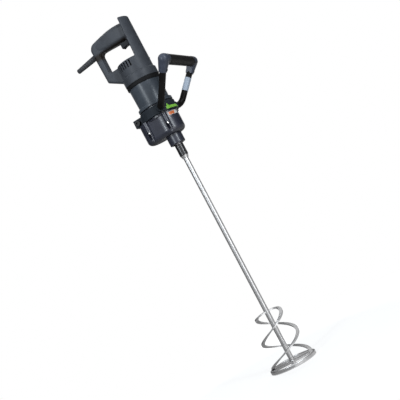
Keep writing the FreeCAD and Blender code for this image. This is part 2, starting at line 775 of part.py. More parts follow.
def gear_housing_screws():
    seat = case_screw_seat_z()
    screws = []
    for place in case_screw_places():
        low = seat - CASE_SCREW_HEAD_H
        head = cylinder(CASE_SCREW_HEAD_R, low, seat, place.x, place.y)
        shank = cylinder(CASE_SCREW_R, seat, PLATE_TOP_Z - FACE_GAP, place.x, place.y)
        socket_top = low + CASE_SCREW_SOCKET_DEPTH
        socket = cylinder(CASE_SCREW_SOCKET_R, low - OVERRUN, socket_top, place.x, place.y)
        screws.append(without(joined([head, shank]), [socket]))
    return Part.makeCompound(screws)


def bearing_bridge():
    """Plate on the case's ledge that carries the spindle's upper bearing."""
    inset = CASE_WALL + BRIDGE_GAP
    plate = lobes(SPINDLE_LOBE_R - inset, LAY_LOBE_R - inset, BRIDGE_Z, BRIDGE_TOP_Z)
    seat = cylinder(TOP_BEARING_R, BRIDGE_Z - OVERRUN, BRIDGE_TOP_Z - BRIDGE_LIP)
    lip = cylinder(BRIDGE_LIP_R, BRIDGE_Z, BRIDGE_TOP_Z + OVERRUN)
    shaft = cylinder(LAYSHAFT_SEAT_R + BRIDGE_SHAFT_GAP, BRIDGE_Z - OVERRUN, BRIDGE_TOP_Z + OVERRUN, LAY_X)
    return without(plate, [seat, lip, shaft])


def gear_flange():
    plate = lobes(SPINDLE_LOBE_R, LAY_LOBE_R, CASE_TOP_Z, PLATE_TOP_Z)
    ears = [cylinder(CASE_BOSS_R, CASE_TOP_Z, PLATE_TOP_Z, p.x, p.y) for p in case_screw_places()]
    collar = cylinder(FLANGE_COLLAR_R - SEAT_GAP, CASE_TOP_Z, MOTOR_Z, MOTOR_X)
    body = joined([plate, collar] + ears)
    cuts = [cylinder(CASE_SCREW_R + SCREW_GAP, CASE_TOP_Z - OVERRUN, PLATE_TOP_Z + OVERRUN, p.x, p.y)
            for p in case_screw_places()]
    cuts.append(cylinder(BUSH_R, CASE_TOP_Z - OVERRUN, CASE_TOP_Z + TOP_BUSH_H, LAY_X))
    cuts.append(cylinder(FRONT_JOURNAL_R + SHAFT_HOLE_GAP, CASE_TOP_Z - OVERRUN, MOTOR_Z, MOTOR_X))
    cuts.append(cylinder(FRONT_BEARING_R, FRONT_BEARING_Z, MOTOR_Z, MOTOR_X))
    cuts.append(cylinder(FAN_RECESS_R, FAN_FLOOR_Z, MOTOR_Z + OVERRUN, MOTOR_X))
    for place in flange_screw_places():
        head_top = CASE_TOP_Z + FLANGE_SCREW_HEAD_INSET + FLANGE_SCREW_HEAD_H
        head_r = FLANGE_SCREW_HEAD_R + SCREW_GAP
        cuts.append(cylinder(head_r, CASE_TOP_Z - OVERRUN, head_top, place.x, place.y))
        cuts.append(cylinder(FLANGE_SCREW_R + SCREW_GAP, CASE_TOP_Z, MOTOR_Z + OVERRUN, place.x, place.y))
    return without(body, cuts)


def flange_screw_places():
    turns = [FLANGE_SCREW_ANGLE + 90 * quarter for quarter in range(4)]
    return [polar(FLANGE_SCREW_PITCH_R, turn, 0, MOTOR_X) for turn in turns]


def flange_screws():
    head_z = CASE_TOP_Z + FLANGE_SCREW_HEAD_INSET
    seat = head_z + FLANGE_SCREW_HEAD_H
    screws = []
    for place in flange_screw_places():
        head = cylinder(FLANGE_SCREW_HEAD_R, head_z, seat, place.x, place.y)
        shank = cylinder(FLANGE_SCREW_R, seat, MOTOR_Z + FLANGE_SCREW_BITE, place.x, place.y)
        screws.append(joined([head, shank]))
    return Part.makeCompound(screws)


# Motor


def motor_housing():
    lip_top = MOTOR_Z + MOTOR_LIP_H
    lip = cylinder(MOTOR_LIP_R, MOTOR_Z, lip_top, MOTOR_X)
    lip = lip.makeFillet(MOTOR_LIP_ROUND, edges_at_height(lip, MOTOR_Z) + edges_at_height(lip, lip_top))
    shell_foot = V(MOTOR_X, 0, MOTOR_Z + MOTOR_LIP_ROUND)
    shell = bar(shell_foot, V(MOTOR_X, 0, MOTOR_TOP_Z), MOTOR_FOOT_R, MOTOR_TOP_R)
    spigot = cylinder(MOTOR_SPIGOT_R, MOTOR_Z + MOTOR_LIP_H, MOTOR_TOP_Z + MOTOR_SPIGOT_H, MOTOR_X)
    body = joined([lip, shell, spigot])
    cuts = [cylinder(MOTOR_MOUTH_R, MOTOR_Z - OVERRUN, lip_top + OVERRUN, MOTOR_X)]
    cuts.append(cylinder(STATOR_R + SEAT_GAP, lip_top, MOTOR_TOP_Z + MOTOR_SPIGOT_H + OVERRUN, MOTOR_X))
    for place in flange_screw_places():
        hole_r = FLANGE_SCREW_R + SCREW_GAP
        cuts.append(cylinder(hole_r, MOTOR_Z - OVERRUN, lip_top + OVERRUN, place.x, place.y))
    return without(body, cuts)


def seal_ring():
    body = ring(SEAL_RING_R, MOTOR_SPIGOT_R + SEAT_GAP, MOTOR_TOP_Z, HANDLE_Z, MOTOR_X)
    outer = [edge for edge in body.Edges if abs(edge.BoundBox.XMax - MOTOR_X - SEAL_RING_R) < SEAT_GAP
             and edge.BoundBox.ZLength < SEAT_GAP]
    return body.makeFillet(SEAL_RING_ROUND, outer)


def sector(r_in, r_out, half_angle, middle_angle, z0, z1, x):
    low = middle_angle - half_angle
    high = middle_angle + half_angle
    outer = [polar(r_out, turn, z0, x) for turn in (low, middle_angle, high)]
    inner = [polar(r_in, turn, z0, x) for turn in (high, middle_angle, low)]
    edges = [
        Part.Arc(*outer).toShape(),
        Part.LineSegment(outer[-1], inner[0]).toShape(),
        Part.Arc(*inner).toShape(),
        Part.LineSegment(inner[-1], outer[0]).toShape(),
    ]
    return Part.Face(Part.Wire(edges)).extrude(V(0, 0, z1 - z0))


def coil_sector(middle_angle, z0, z1):
    return sector(COIL_IN_R, COIL_OUT_R, COIL_HALF_ANGLE, middle_angle, z0, z1, MOTOR_X)


def stator_core():
    body = ring(STATOR_R, STATOR_BORE_R, STATOR_Z, STATOR_TOP_Z, MOTOR_X)
    slots = [coil_sector(turn, STATOR_Z - OVERRUN, STATOR_TOP_Z + OVERRUN) for turn in (90, 270)]
    return without(body, slots)


def field_coils():
    foot = STATOR_Z - COIL_OVERHANG
    top = STATOR_TOP_Z + COIL_OVERHANG
    return Part.makeCompound([coil_sector(turn, foot, top) for turn in (90, 270)])


def armature_shaft():
    pinion_foot = GEAR1_Z - PINION_EXTRA
    rear_foot = REAR_BEARING_Z - BEARING_SPACE
    steps = [
        toothed(STAGE1_PINION_TEETH, STAGE1_MODULE, pinion_foot, CASE_TOP_Z, MOTOR_X, 180),
        cylinder(FRONT_JOURNAL_R - RUN_GAP, CASE_TOP_Z, FRONT_BEARING_TOP_Z, MOTOR_X),
        cylinder(ARMATURE_SHAFT_R, CASE_TOP_Z, rear_foot, MOTOR_X),
        cylinder(REAR_JOURNAL_R - RUN_GAP, rear_foot - OVERRUN, REAR_BEARING_Z + REAR_BEARING_H, MOTOR_X),
    ]
    return joined(steps)


def armature_core():
    outer = STATOR_BORE_R - ARMATURE_GAP
    body = ring(outer, ARMATURE_SHAFT_R + SEAT_GAP, STATOR_Z, STATOR_TOP_Z, MOTOR_X)
    slots = []
    for i in range(ARMATURE_SLOTS):
        start = MOTOR_X + outer - ARMATURE_SLOT_DEPTH
        half = ARMATURE_SLOT_W / 2
        slot = box(start, MOTOR_X + outer + OVERRUN, -half, half, STATOR_Z - OVERRUN, STATOR_TOP_Z + OVERRUN)
        slot.rotate(V(MOTOR_X, 0, 0), V(0, 0, 1), 360 * i / ARMATURE_SLOTS)
        slots.append(slot)
    return without(body, slots)


def armature_windings():
    """The end turns on both faces of the core."""
    heads = []
    for foot in (STATOR_Z - WINDING_H, STATOR_TOP_Z):
        head = ring(WINDING_R, ARMATURE_SHAFT_R + SEAT_GAP, foot, foot + WINDING_H, MOTOR_X)
        rims = [edge for edge in head.Edges if edge.BoundBox.XMax > MOTOR_X + ARMATURE_SHAFT_R + WINDING_ROUND
                and edge.BoundBox.ZLength < SEAT_GAP]
        heads.append(head.makeFillet(WINDING_ROUND, rims))
    return Part.makeCompound(heads)


def commutator():
    body = ring(COMMUTATOR_R, ARMATURE_SHAFT_R + SEAT_GAP, COMMUTATOR_Z, COMMUTATOR_TOP_Z, MOTOR_X)
    slits = []
    for i in range(COMMUTATOR_BARS):
        start = MOTOR_X + COMMUTATOR_R - COMMUTATOR_SLIT_DEPTH
        half = COMMUTATOR_SLIT_W / 2
        low = COMMUTATOR_Z - OVERRUN
        slit = box(start, MOTOR_X + COMMUTATOR_R + OVERRUN, -half, half, low, COMMUTATOR_TOP_Z + OVERRUN)
        slit.rotate(V(MOTOR_X, 0, 0), V(0, 0, 1), 360 * i / COMMUTATOR_BARS)
        slits.append(slit)
    return without(body, slits)


def cooling_fan():
    top = FAN_Z + FAN_H
    disc = cylinder(FAN_R, top - FAN_DISC_T, top, MOTOR_X)
    hub = cylinder(FAN_HUB_R, FAN_Z, top, MOTOR_X)
    blades = []
    for i in range(FAN_BLADES):
        half = FAN_BLADE_T / 2
        blade = box(MOTOR_X + FAN_BLADE_IN_R, MOTOR_X + FAN_R - FAN_BLADE_T, -half, half, FAN_Z, top)
        blade.rotate(V(MOTOR_X, 0, 0), V(0, 0, 1), 360 * i / FAN_BLADES)
        blades.append(blade)
    bore = cylinder(ARMATURE_SHAFT_R + SEAT_GAP, FAN_Z - OVERRUN, top + OVERRUN, MOTOR_X)
    return without(joined([disc, hub] + blades), [bore])


def armature_bearing_front():
    return ring(FRONT_BEARING_R - SEAT_GAP, FRONT_JOURNAL_R, FRONT_BEARING_Z, FRONT_BEARING_TOP_Z, MOTOR_X)


def armature_bearing_rear():
    top = REAR_BEARING_Z + REAR_BEARING_H
    return ring(REAR_BEARING_R - SEAT_GAP, REAR_JOURNAL_R, REAR_BEARING_Z, top, MOTOR_X)


def brush_box(side, r_in, r_out, extra):
    half_w = BRUSH_W / 2 + extra
    half_h = BRUSH_H / 2 + extra
    low_y = min(side * r_in, side * r_out)
    high_y = max(side * r_in, side * r_out)
    return box(MOTOR_X - half_w, MOTOR_X + half_w, low_y, high_y, BRUSH_Z - half_h, BRUSH_Z + half_h)


def carbon_brushes():
    face = COMMUTATOR_R + BRUSH_FACE_GAP
    return Part.makeCompound([brush_box(side, face, face + BRUSH_LEN, 0) for side in (-1, 1)])


def brush_holders():
    inner = COMMUTATOR_R + BRUSH_HOLDER_STANDOFF
    holders = []
    for side in (-1, 1):
        tube = brush_box(side, inner, BRUSH_HOLDER_END_R, BRUSH_WALL)
        room = brush_box(side, inner - OVERRUN, BRUSH_HOLDER_END_R - BRUSH_WALL, SEAT_GAP)
        holders.append(without(tube, [room]))
    return Part.makeCompound(holders)


def brush_plate():
    inner = COMMUTATOR_R + BRUSH_HOLDER_STANDOFF
    return ring(BRUSH_PLATE_R, inner, BRUSH_PLATE_Z, BRUSH_PLATE_Z + BRUSH_PLATE_T, MOTOR_X)


# Rear handle


def frame_face():
    """Outline of the closed handle in the middle plane, with its finger opening."""
    core = SPINE_IN_X + CORE_LAP
    bar_top = frame_top_at(-GRIP_CORNER_X)
    outline = [
        V(core, 0, RIM_Z - ARM_FOOT_DROP),
        V(core, 0, frame_top_at(core)),
        V(-GRIP_CREST_X, 0, frame_top_at(-GRIP_CREST_X)),
        V(-GRIP_CORNER_X, 0, bar_top),
        V(-BAR_TOP_X, 0, bar_top - BAR_SHOULDER_DROP),
        V(-BAR_FOOT_X, 0, RIM_Z - BAR_FOOT_DROP),
        V(-ARM_MOTOR_X, 0, RIM_Z - ARM_MOTOR_DROP),
        V(MOTOR_X, 0, RIM_Z - ARM_MOTOR_DROP),
    ]
    corner = FRAME_CORNER_ROUND
    shoulder = BAR_CORNER_ROUND
    radii = [corner, corner, GRIP_CREST_ROUND, shoulder, shoulder, BAR_FOOT_ROUND, corner, corner]
    outer = rounded_wire(outline, radii)
    opening = [
        V(CORE_X, 0, RIM_Z),
        V(CORE_X, 0, GRIP_Z + GRIP_SKIN),
        V(-BAR_IN_TOP_X, 0, GRIP_Z + GRIP_SKIN + OPENING_RISE),
        V(-BAR_IN_FOOT_X, 0, RIM_Z),
    ]
    inner = rounded_wire(opening, [OPENING_ROUND, OPENING_ROUND, OPENING_ROUND, OPENING_FOOT_ROUND])
    return Part.Face(outer), Part.Face(inner)


def frame_solid(inset, half_y):
    outer, inner = frame_face()
    if inset:
        outer = Part.Face(outer.OuterWire.makeOffset2D(-inset))
        inner = Part.Face(inner.OuterWire.makeOffset2D(inset))
    loop = outer.cut(inner).Faces[0]
    loop.translate(V(0, -half_y, 0))
    return loop.extrude(V(0, 2 * half_y, 0))


def grip_section(x, half_y, z0, z1):
    corners = [V(x, -half_y, z0), V(x, half_y, z0), V(x, half_y, z1), V(x, -half_y, z1)]
    return rounded_wire(corners, [GRIP_ROUND] * 4)


def frame_top_at(x):
    """Height of the frame's two straight runs that meet at the grip's crest."""
    spine = (SPINE_IN_X + CORE_LAP, GRIP_TOP_Z - GRIP_SKIN)
    crest = (-GRIP_CREST_X, GRIP_TOP_Z - GRIP_SKIN + GRIP_CREST_RISE)
    end = (-GRIP_CORNER_X, GRIP_Z + GRIP_H_BAR - GRIP_SKIN)
    if x > crest[0]:
        end = spine
    return crest[1] + (end[1] - crest[1]) * (x - crest[0]) / (end[0] - crest[0])


def grip_foot_at(x):
    rise = OPENING_RISE / (CORE_X + BAR_IN_TOP_X)
    return GRIP_Z + rise * (CORE_X - x)


def grip_swell():
    """Fuller skin of the grip, which sinks into the frame at its far end."""
    start = SPINE_IN_X + CORE_LAP
    crest = -GRIP_CREST_X
    far = -GRIP_END_X
    sink = GRIP_SKIN + FACE_GAP
    sections = [
        grip_section(start, GRIP_HALF_Y, grip_foot_at(start), frame_top_at(start) + GRIP_SKIN),
        grip_section(crest, GRIP_HALF_Y, grip_foot_at(crest), frame_top_at(crest)),
        grip_section(far, FRAME_HALF_Y - FACE_GAP, grip_foot_at(far) + sink, frame_top_at(far) - sink),
    ]
    return Part.makeLoft(sections, True, False)


def spine_solid():
    foot_z = RIM_Z - ARM_FOOT_DROP
    front = MOTOR_X + REAR_R + OVERRUN
    corners = [V(SPINE_FOOT_X, -REAR_R, foot_z), V(front, -REAR_R, foot_z), V(front, -REAR_R, SPINE_TOP_Z),
               V(SPINE_TOP_X, -REAR_R, SPINE_TOP_Z)]
    keep = Part.Face(Part.makePolygon(corners + corners[:1])).extrude(V(0, 2 * REAR_R, 0))
    body = cylinder(REAR_R, foot_z, SPINE_TOP_Z, MOTOR_X).common(keep)
    long = [edge for edge in body.Edges if edge.BoundBox.ZLength > OPENING_H and edge.BoundBox.XMin < SPINE_IN_X]
    return body.makeFillet(SPINE_ROUND, long + edges_at_height(body, SPINE_TOP_Z))


def rear_solid():
    barrel = cylinder(REAR_R, HANDLE_Z, RIM_Z, MOTOR_X)
    barrel = barrel.makeFillet(RIM_ROUND, edges_at_height(barrel, RIM_Z))
    collar_top = HANDLE_Z + HANDLE_COLLAR_H
    collar = cylinder(HANDLE_COLLAR_R, HANDLE_Z, collar_top, MOTOR_X)
    collar = collar.makeChamfer(COLLAR_SLOPE, edges_at_height(collar, collar_top))
    return [barrel, collar]


def handle_outer():
    frame = frame_solid(0, FRAME_HALF_Y)
    rims = edges_at_y(frame, -FRAME_HALF_Y) + edges_at_y(frame, FRAME_HALF_Y)
    frame = frame.makeFillet(FRAME_ROUND, rims)
    return joined([frame, grip_swell(), spine_solid()] + rear_solid())


def handle_cavity():
    spigot_top = MOTOR_TOP_Z + MOTOR_SPIGOT_H + BEARING_SPACE
    motor_room = cylinder(REAR_R - WALL, HANDLE_Z - OVERRUN, RIM_Z - REAR_CAP_T, MOTOR_X)
    spigot_room = cylinder(MOTOR_SPIGOT_R + SEAT_GAP, HANDLE_Z - OVERRUN, spigot_top, MOTOR_X)
    loop_room = frame_solid(WALL, FRAME_HALF_Y - WALL)
    spine_room = cylinder(REAR_R - WALL, RIM_Z, SPINE_TOP_Z - WALL, MOTOR_X)
    keep_foot = RIM_Z - REAR_CAP_T - OVERRUN
    spine_keep = box(SPINE_TOP_X + WALL, MOTOR_X + REAR_R, -REAR_R, REAR_R, keep_foot, SPINE_TOP_Z)
    return joined([motor_room, spigot_room, loop_room, spine_room.common(spine_keep)])


def vent_cuts():
    cuts = []
    for side in (-1, 1):
        for i in range(VENT_COUNT):
            slot = box(MOTOR_X + REAR_R - WALL - OVERRUN, MOTOR_X + REAR_R + OVERRUN, -VENT_W / 2, VENT_W / 2,
                       RIM_Z - REAR_CAP_T - VENT_H, RIM_Z - REAR_CAP_T)
            slot.rotate(V(MOTOR_X, 0, 0), V(0, 0, 1), side * (VENT_FIRST_ANGLE - VENT_PITCH_ANGLE * i))
            cuts.append(slot)
    return cuts


def handle_screw_places():
    """Each screw's place in the middle plane, with the half width of the shell there."""
    motor_x = REAR_R - WALL - HANDLE_BOSS_R
    motor_half = math.sqrt(REAR_R ** 2 - motor_x ** 2)
    motor_z = RIM_Z - REAR_CAP_T - 2 * HANDLE_BOSS_R
    core_x = (CORE_X + SPINE_IN_X) / 2
    bar_x = (BAR_TOP_X + BAR_IN_TOP_X) / 2
    return [
        (MOTOR_X - motor_x, motor_z, motor_half),
        (MOTOR_X + motor_x, motor_z, motor_half),
        (core_x, GRIP_TOP_Z - GRIP_SKIN - WALL - HANDLE_BOSS_R, GRIP_HALF_Y),
        (core_x, RIM_Z + OPENING_H / 4, FRAME_HALF_Y),
        (-(GRIP_END_X + BAR_IN_TOP_X) / 2 + GRIP_ROUND, GRIP_Z + GRIP_H_BAR / 2, FRAME_HALF_Y),
        (-bar_x, RIM_Z + OPENING_H / 4, FRAME_HALF_Y),
    ]


def along_y(x, z, radius, y0, y1):
    return Part.makeCylinder(radius, y1 - y0, V(x, y0, z), V(0, 1, 0))


def screw_head_y(half):
    return half - HANDLE_SCREW_SINK


def handle_screw_cuts():
    cuts = []
    for x, z, half in handle_screw_places():
        head = screw_head_y(half)
        cuts.append(along_y(x, z, HANDLE_SCREW_HEAD_R + SCREW_GAP, head, half + OVERRUN))
        cuts.append(along_y(x, z, HANDLE_SCREW_R + SCREW_GAP, -half * HANDLE_SCREW_REACH_SHARE, head))
    return cuts


def handle_screws():
    screws = []
    for x, z, half in handle_screw_places():
        head_y = screw_head_y(half)
        head = along_y(x, z, HANDLE_SCREW_HEAD_R, head_y, head_y + HANDLE_SCREW_HEAD_H)
        shank = along_y(x, z, HANDLE_SCREW_R, -half * HANDLE_SCREW_REACH_SHARE + SCREW_GAP, head_y)
        top = head_y + HANDLE_SCREW_HEAD_H
        slots = []
        for long_x, long_z in ((1, 0), (0, 1)):
            half_x = HANDLE_SLOT_W / 2 + long_x * HANDLE_SCREW_R
            half_z = HANDLE_SLOT_W / 2 + long_z * HANDLE_SCREW_R
            low_y = top - HANDLE_SLOT_DEPTH
            slots.append(box(x - half_x, x + half_x, low_y, top + OVERRUN, z - half_z, z + half_z))
        screws.append(without(joined([head, shank]), slots))
    return Part.makeCompound(screws)


def handle_bosses(outer):
    """Screw posts across the handle, and the web that seats the rear bearing."""
    posts = [along_y(x, z, HANDLE_BOSS_R, -half, half) for x, z, half in handle_screw_places()]
    web_z = REAR_BEARING_Z + REAR_BEARING_H / 2 - REAR_WEB_T / 2
    web = cylinder(REAR_R - WALL / 2, web_z, web_z + REAR_WEB_T, MOTOR_X)
    hub = cylinder(REAR_BEARING_R + REAR_HUB_WALL, REAR_BEARING_Z, REAR_BEARING_Z + REAR_BEARING_H, MOTOR_X)
    return [piece.common(outer) for piece in posts + [web, hub]]


def boot_point(distance):
    """Point on the boot's axis, measured outwards from the bar's outer face."""
    tilt = math.radians(BOOT_TILT)
    return V(-BAR_TOP_X - distance * math.cos(tilt), 0, BOOT_Z - distance * math.sin(tilt))


def trigger_seat_z():
    """Height of the grip's inner floor behind the trigger."""
    return grip_foot_at(TRIGGER_X - TRIGGER_LEN / 2 - TRIGGER_FLANGE_OUT) + GRIP_SKIN + WALL


def trigger_box(extra):
    half_len = TRIGGER_LEN / 2 + extra
    half_y = TRIGGER_HALF_Y + extra
    low_z = GRIP_Z - OVERRUN
    return box(TRIGGER_X - half_len, TRIGGER_X + half_len, -half_y, half_y, low_z, trigger_seat_z())


def lock_z():
    return GRIP_Z + LOCK_LIFT


def handle_whole():
    outer = handle_outer()
    cavity = handle_cavity()
    shell = joined([without(outer, [cavity])] + handle_bosses(outer))
    seat_top = REAR_BEARING_Z + REAR_BEARING_H + OVERRUN
    bearing_seat = cylinder(REAR_BEARING_R, REAR_BEARING_Z - OVERRUN, seat_top, MOTOR_X)
    inner_y = FRAME_HALF_Y - WALL
    cuts = vent_cuts() + handle_screw_cuts() + [bearing_seat, trigger_box(SLIDE_GAP)]
    cuts.append(along_y(LOCK_X, lock_z(), LOCK_R + SLIDE_GAP, inner_y, GRIP_HALF_Y + OVERRUN))
    flange_room = LOCK_FLANGE_T + LOCK_TRAVEL + SLIDE_GAP
    flange_r = LOCK_R + LOCK_FLANGE_OUT + SLIDE_GAP
    cuts.append(along_y(LOCK_X, lock_z(), flange_r, inner_y - OVERRUN, inner_y + flange_room))
    cuts.append(bar(boot_point(-BOOT_FLANGE_INSET), boot_point(OVERRUN), BOOT_NECK_R + SCREW_GAP))
    return without(shell, cuts)


def handle_half(shell, side):
    reach = BAR_TOP_X + REAR_R
    low_y = min(0, side * reach)
    high_y = max(0, side * reach)
    keep = box(-reach, reach, low_y, high_y, HANDLE_Z - OVERRUN, SPINE_TOP_Z + OVERRUN)
    return shell.common(keep)


def trigger():
    top = trigger_seat_z() + FACE_GAP
    back = TRIGGER_X - TRIGGER_LEN / 2
    front = TRIGGER_X + TRIGGER_LEN / 2
    tip = V(back, 0, GRIP_Z - TRIGGER_NOSE_DROP)
    heel = V(front, 0, GRIP_Z - TRIGGER_DROP)
    scoop = (tip + heel) / 2 + V(0, 0, TRIGGER_SCOOP)
    edges = [
        Part.Arc(tip, scoop, heel).toShape(),
        Part.LineSegment(heel, V(front, 0, top)).toShape(),
        Part.LineSegment(V(front, 0, top), V(back, 0, top)).toShape(),
        Part.LineSegment(V(back, 0, top), tip).toShape(),
    ]
    face = Part.Face(Part.Wire(edges))
    face.translate(V(0, -TRIGGER_HALF_Y, 0))
    body = face.extrude(V(0, 2 * TRIGGER_HALF_Y, 0))
    low = [edge for edge in body.Edges if edge.BoundBox.ZMax < GRIP_Z - SEAT_GAP]
    body = body.makeFillet(TRIGGER_ROUND, low)
    out = TRIGGER_FLANGE_OUT
    half_y = TRIGGER_HALF_Y + out
    flange = box(back - out, front + out, -half_y, half_y, top, top + TRIGGER_FLANGE_T)
    return joined([body, flange])


def lock_button():
    inner = FRAME_HALF_Y - WALL + LOCK_TRAVEL
    outer = GRIP_HALF_Y + LOCK_PROUD
    button = along_y(LOCK_X, lock_z(), LOCK_R, inner, outer)
    button = button.makeFillet(LOCK_ROUND, edges_at_y(button, outer))
    flange = along_y(LOCK_X, lock_z(), LOCK_R + LOCK_FLANGE_OUT, inner, inner + LOCK_FLANGE_T)
    return joined([button, flange])


def switch_module():
    foot = trigger_seat_z() + FACE_GAP + TRIGGER_FLANGE_T + TRIGGER_TRAVEL + SLIDE_GAP
    half_y = FRAME_HALF_Y - WALL - SWITCH_SIDE_GAP
    middle = TRIGGER_X - SWITCH_SHIFT
    body = box(middle - SWITCH_LEN / 2, middle + SWITCH_LEN / 2, -half_y, half_y, foot, foot + SWITCH_H)
    return body.makeFillet(SWITCH_ROUND, edges_at_height(body, foot + SWITCH_H))


def cable_boot(outer):
    """Tapered rubber sleeve, its flange behind the wall and an open bore."""
    cone = bar(boot_point(-BOOT_ROOT_R), boot_point(BOOT_LEN), BOOT_ROOT_R, BOOT_TIP_R)
    tip = [edge for edge in cone.Edges if edge.BoundBox.XMax < boot_point(BOOT_LEN / 2).x]
    cone = cone.makeFillet(BOOT_TIP_ROUND, tip[:1])
    cone = cone.cut(outer)
    cone = min(cone.Solids, key=lambda solid: solid.CenterOfMass.x)
    inner_end = boot_point(-BOOT_FLANGE_INSET - BOOT_FLANGE_T)
    neck = bar(inner_end, boot_point(BOOT_ROOT_R), BOOT_NECK_R)
    flange = bar(inner_end, boot_point(-BOOT_FLANGE_INSET), BOOT_FLANGE_R)
    bore_start = boot_point(-BOOT_FLANGE_INSET - BOOT_FLANGE_T - OVERRUN)
    bore = bar(bore_start, boot_point(BOOT_LEN + OVERRUN), BOOT_BORE_R)
    return without(joined([cone, neck, flange]), [bore])


def cord_clamp():
    """Saddle on the left shell's inner wall, below the boot."""
    wall_y = -(FRAME_HALF_Y - WALL) + FACE_GAP
    middle = -(BAR_FOOT_X + BAR_IN_FOOT_X) / 2
    half_x = (BAR_FOOT_X - BAR_IN_FOOT_X) / 2 - WALL - FACE_GAP
    foot = BOOT_Z - CORD_CLAMP_DROP - CORD_CLAMP_H
    top = foot + CORD_CLAMP_H
    face_y = wall_y + CORD_CLAMP_DEPTH
    block = box(middle - half_x, middle + half_x, wall_y, face_y, foot, top)
    groove = cylinder(BOOT_BORE_R, foot - OVERRUN, top + OVERRUN, middle, face_y)
    return without(block, [groove])


# Bow handle


def bow_way(side):
    """Points of one leg: socket end, bend corner and elbow corner."""
    angle = side * SOCKET_ANGLE
    start = polar(SOCKET_BORE_IN_R + FACE_GAP, angle, SOCKET_Z, MOTOR_X)
    bend = polar(TUBE_BEND_PLACE_R, angle, SOCKET_Z, MOTOR_X)
    elbow = V(BOW_X, side * BOW_HALF_Y, SOCKET_Z + BOW_RISE)
    return start, bend, elbow


def leg_direction(side):
    start, bend, elbow = bow_way(side)
    return (elbow - bend).normalize()


def clamp_ring():
    top = CLAMP_Z + CLAMP_H
    body = cylinder(CLAMP_R, CLAMP_Z, top, MOTOR_X)
    body = body.makeFillet(CLAMP_ROUND, edges_at_height(body, CLAMP_Z) + edges_at_height(body, top))
    middle = CLAMP_Z + CLAMP_H / 2
    ear_foot = middle - EAR_H / 2
    ear = box(-EAR_X, MOTOR_X - FLANGE_COLLAR_R, -EAR_HALF_Y, EAR_HALF_Y, ear_foot, ear_foot + EAR_H)
    upright = [edge for edge in ear.Edges if edge.BoundBox.ZLength > EAR_H / 2
               and edge.BoundBox.XMax < -EAR_X + EAR_ROUND]
    ear = ear.makeFillet(EAR_ROUND, upright)
    sockets = []
    for side in (-1, 1):
        mouth = polar(SOCKET_OUT_R, side * SOCKET_ANGLE, SOCKET_Z, MOTOR_X)
        root = polar(SOCKET_IN_R, side * SOCKET_ANGLE, SOCKET_Z, MOTOR_X)
        boss = bar(root, mouth, SOCKET_R)
        outer_rim = [edge for edge in boss.Edges if edge.CenterOfMass.sub(mouth).Length < SOCKET_ROUND]
        sockets.append(boss.makeFillet(SOCKET_ROUND, outer_rim))
    body = joined([body, ear] + sockets)
    cuts = [cylinder(FLANGE_COLLAR_R, CLAMP_Z - OVERRUN, top + OVERRUN, MOTOR_X)]
    cuts.append(box(-EAR_X - OVERRUN, MOTOR_X, -EAR_SLIT / 2, EAR_SLIT / 2, CLAMP_Z - OVERRUN, top + OVERRUN))
    past_ear = EAR_HALF_Y + OVERRUN
    cuts.append(along_y(-CLAMP_SCREW_X, middle, CLAMP_SCREW_R + SCREW_GAP, -past_ear, past_ear))
    for side in (-1, 1):
        mouth = polar(SOCKET_OUT_R + OVERRUN, side * SOCKET_ANGLE, SOCKET_Z, MOTOR_X)
        root = polar(SOCKET_BORE_IN_R, side * SOCKET_ANGLE, SOCKET_Z, MOTOR_X)
        cuts.append(bar(root, mouth, TUBE_R + SEAT_GAP))
        cuts.append(socket_bolt(side, SCREW_GAP))
    return without(body, cuts)


def clamp_screw():
    middle = CLAMP_Z + CLAMP_H / 2
    head = along_y(-CLAMP_SCREW_X, middle, CLAMP_HEAD_R, -EAR_HALF_Y - CLAMP_HEAD_H, -EAR_HALF_Y)
    tail_y = EAR_HALF_Y + CLAMP_NUT_H + CLAMP_TAIL
    shank = along_y(-CLAMP_SCREW_X, middle, CLAMP_SCREW_R, -EAR_HALF_Y, tail_y)
    top = -EAR_HALF_Y - CLAMP_HEAD_H
    socket = along_y(-CLAMP_SCREW_X, middle, CLAMP_SOCKET_R, top - OVERRUN, top + CLAMP_SOCKET_DEPTH)
    return without(joined([head, shank]), [socket])


def clamp_nut():
    middle = CLAMP_Z + CLAMP_H / 2
    corner_r = CLAMP_NUT_FLATS / math.sqrt(3)
    points = []
    for side in range(7):
        turn = math.radians(60 * side)
        x = -CLAMP_SCREW_X + corner_r * math.cos(turn)
        points.append(V(x, EAR_HALF_Y, middle + corner_r * math.sin(turn)))
    nut = Part.Face(Part.makePolygon(points)).extrude(V(0, CLAMP_NUT_H, 0))
    nut_end = EAR_HALF_Y + CLAMP_NUT_H + OVERRUN
    hole = along_y(-CLAMP_SCREW_X, middle, CLAMP_SCREW_R + SEAT_GAP, EAR_HALF_Y - OVERRUN, nut_end)
    return without(nut, [hole])


def socket_bolt(side, extra):
    """Bolt from below through the socket into the tube's wall."""
    place = polar(SOCKET_BOLT_PLACE_R, side * SOCKET_ANGLE, 0, MOTOR_X)
    seat = SOCKET_Z - SOCKET_R
    head = cylinder(SOCKET_BOLT_HEAD_R + extra, seat - SOCKET_BOLT_HEAD_H, seat, place.x, place.y)
    shank = cylinder(SOCKET_BOLT_R + extra, seat, SOCKET_Z - TUBE_R + TUBE_WALL, place.x, place.y)
    return joined([head, shank])


def socket_bolts():
    return Part.makeCompound([socket_bolt(side, 0) for side in (-1, 1)])


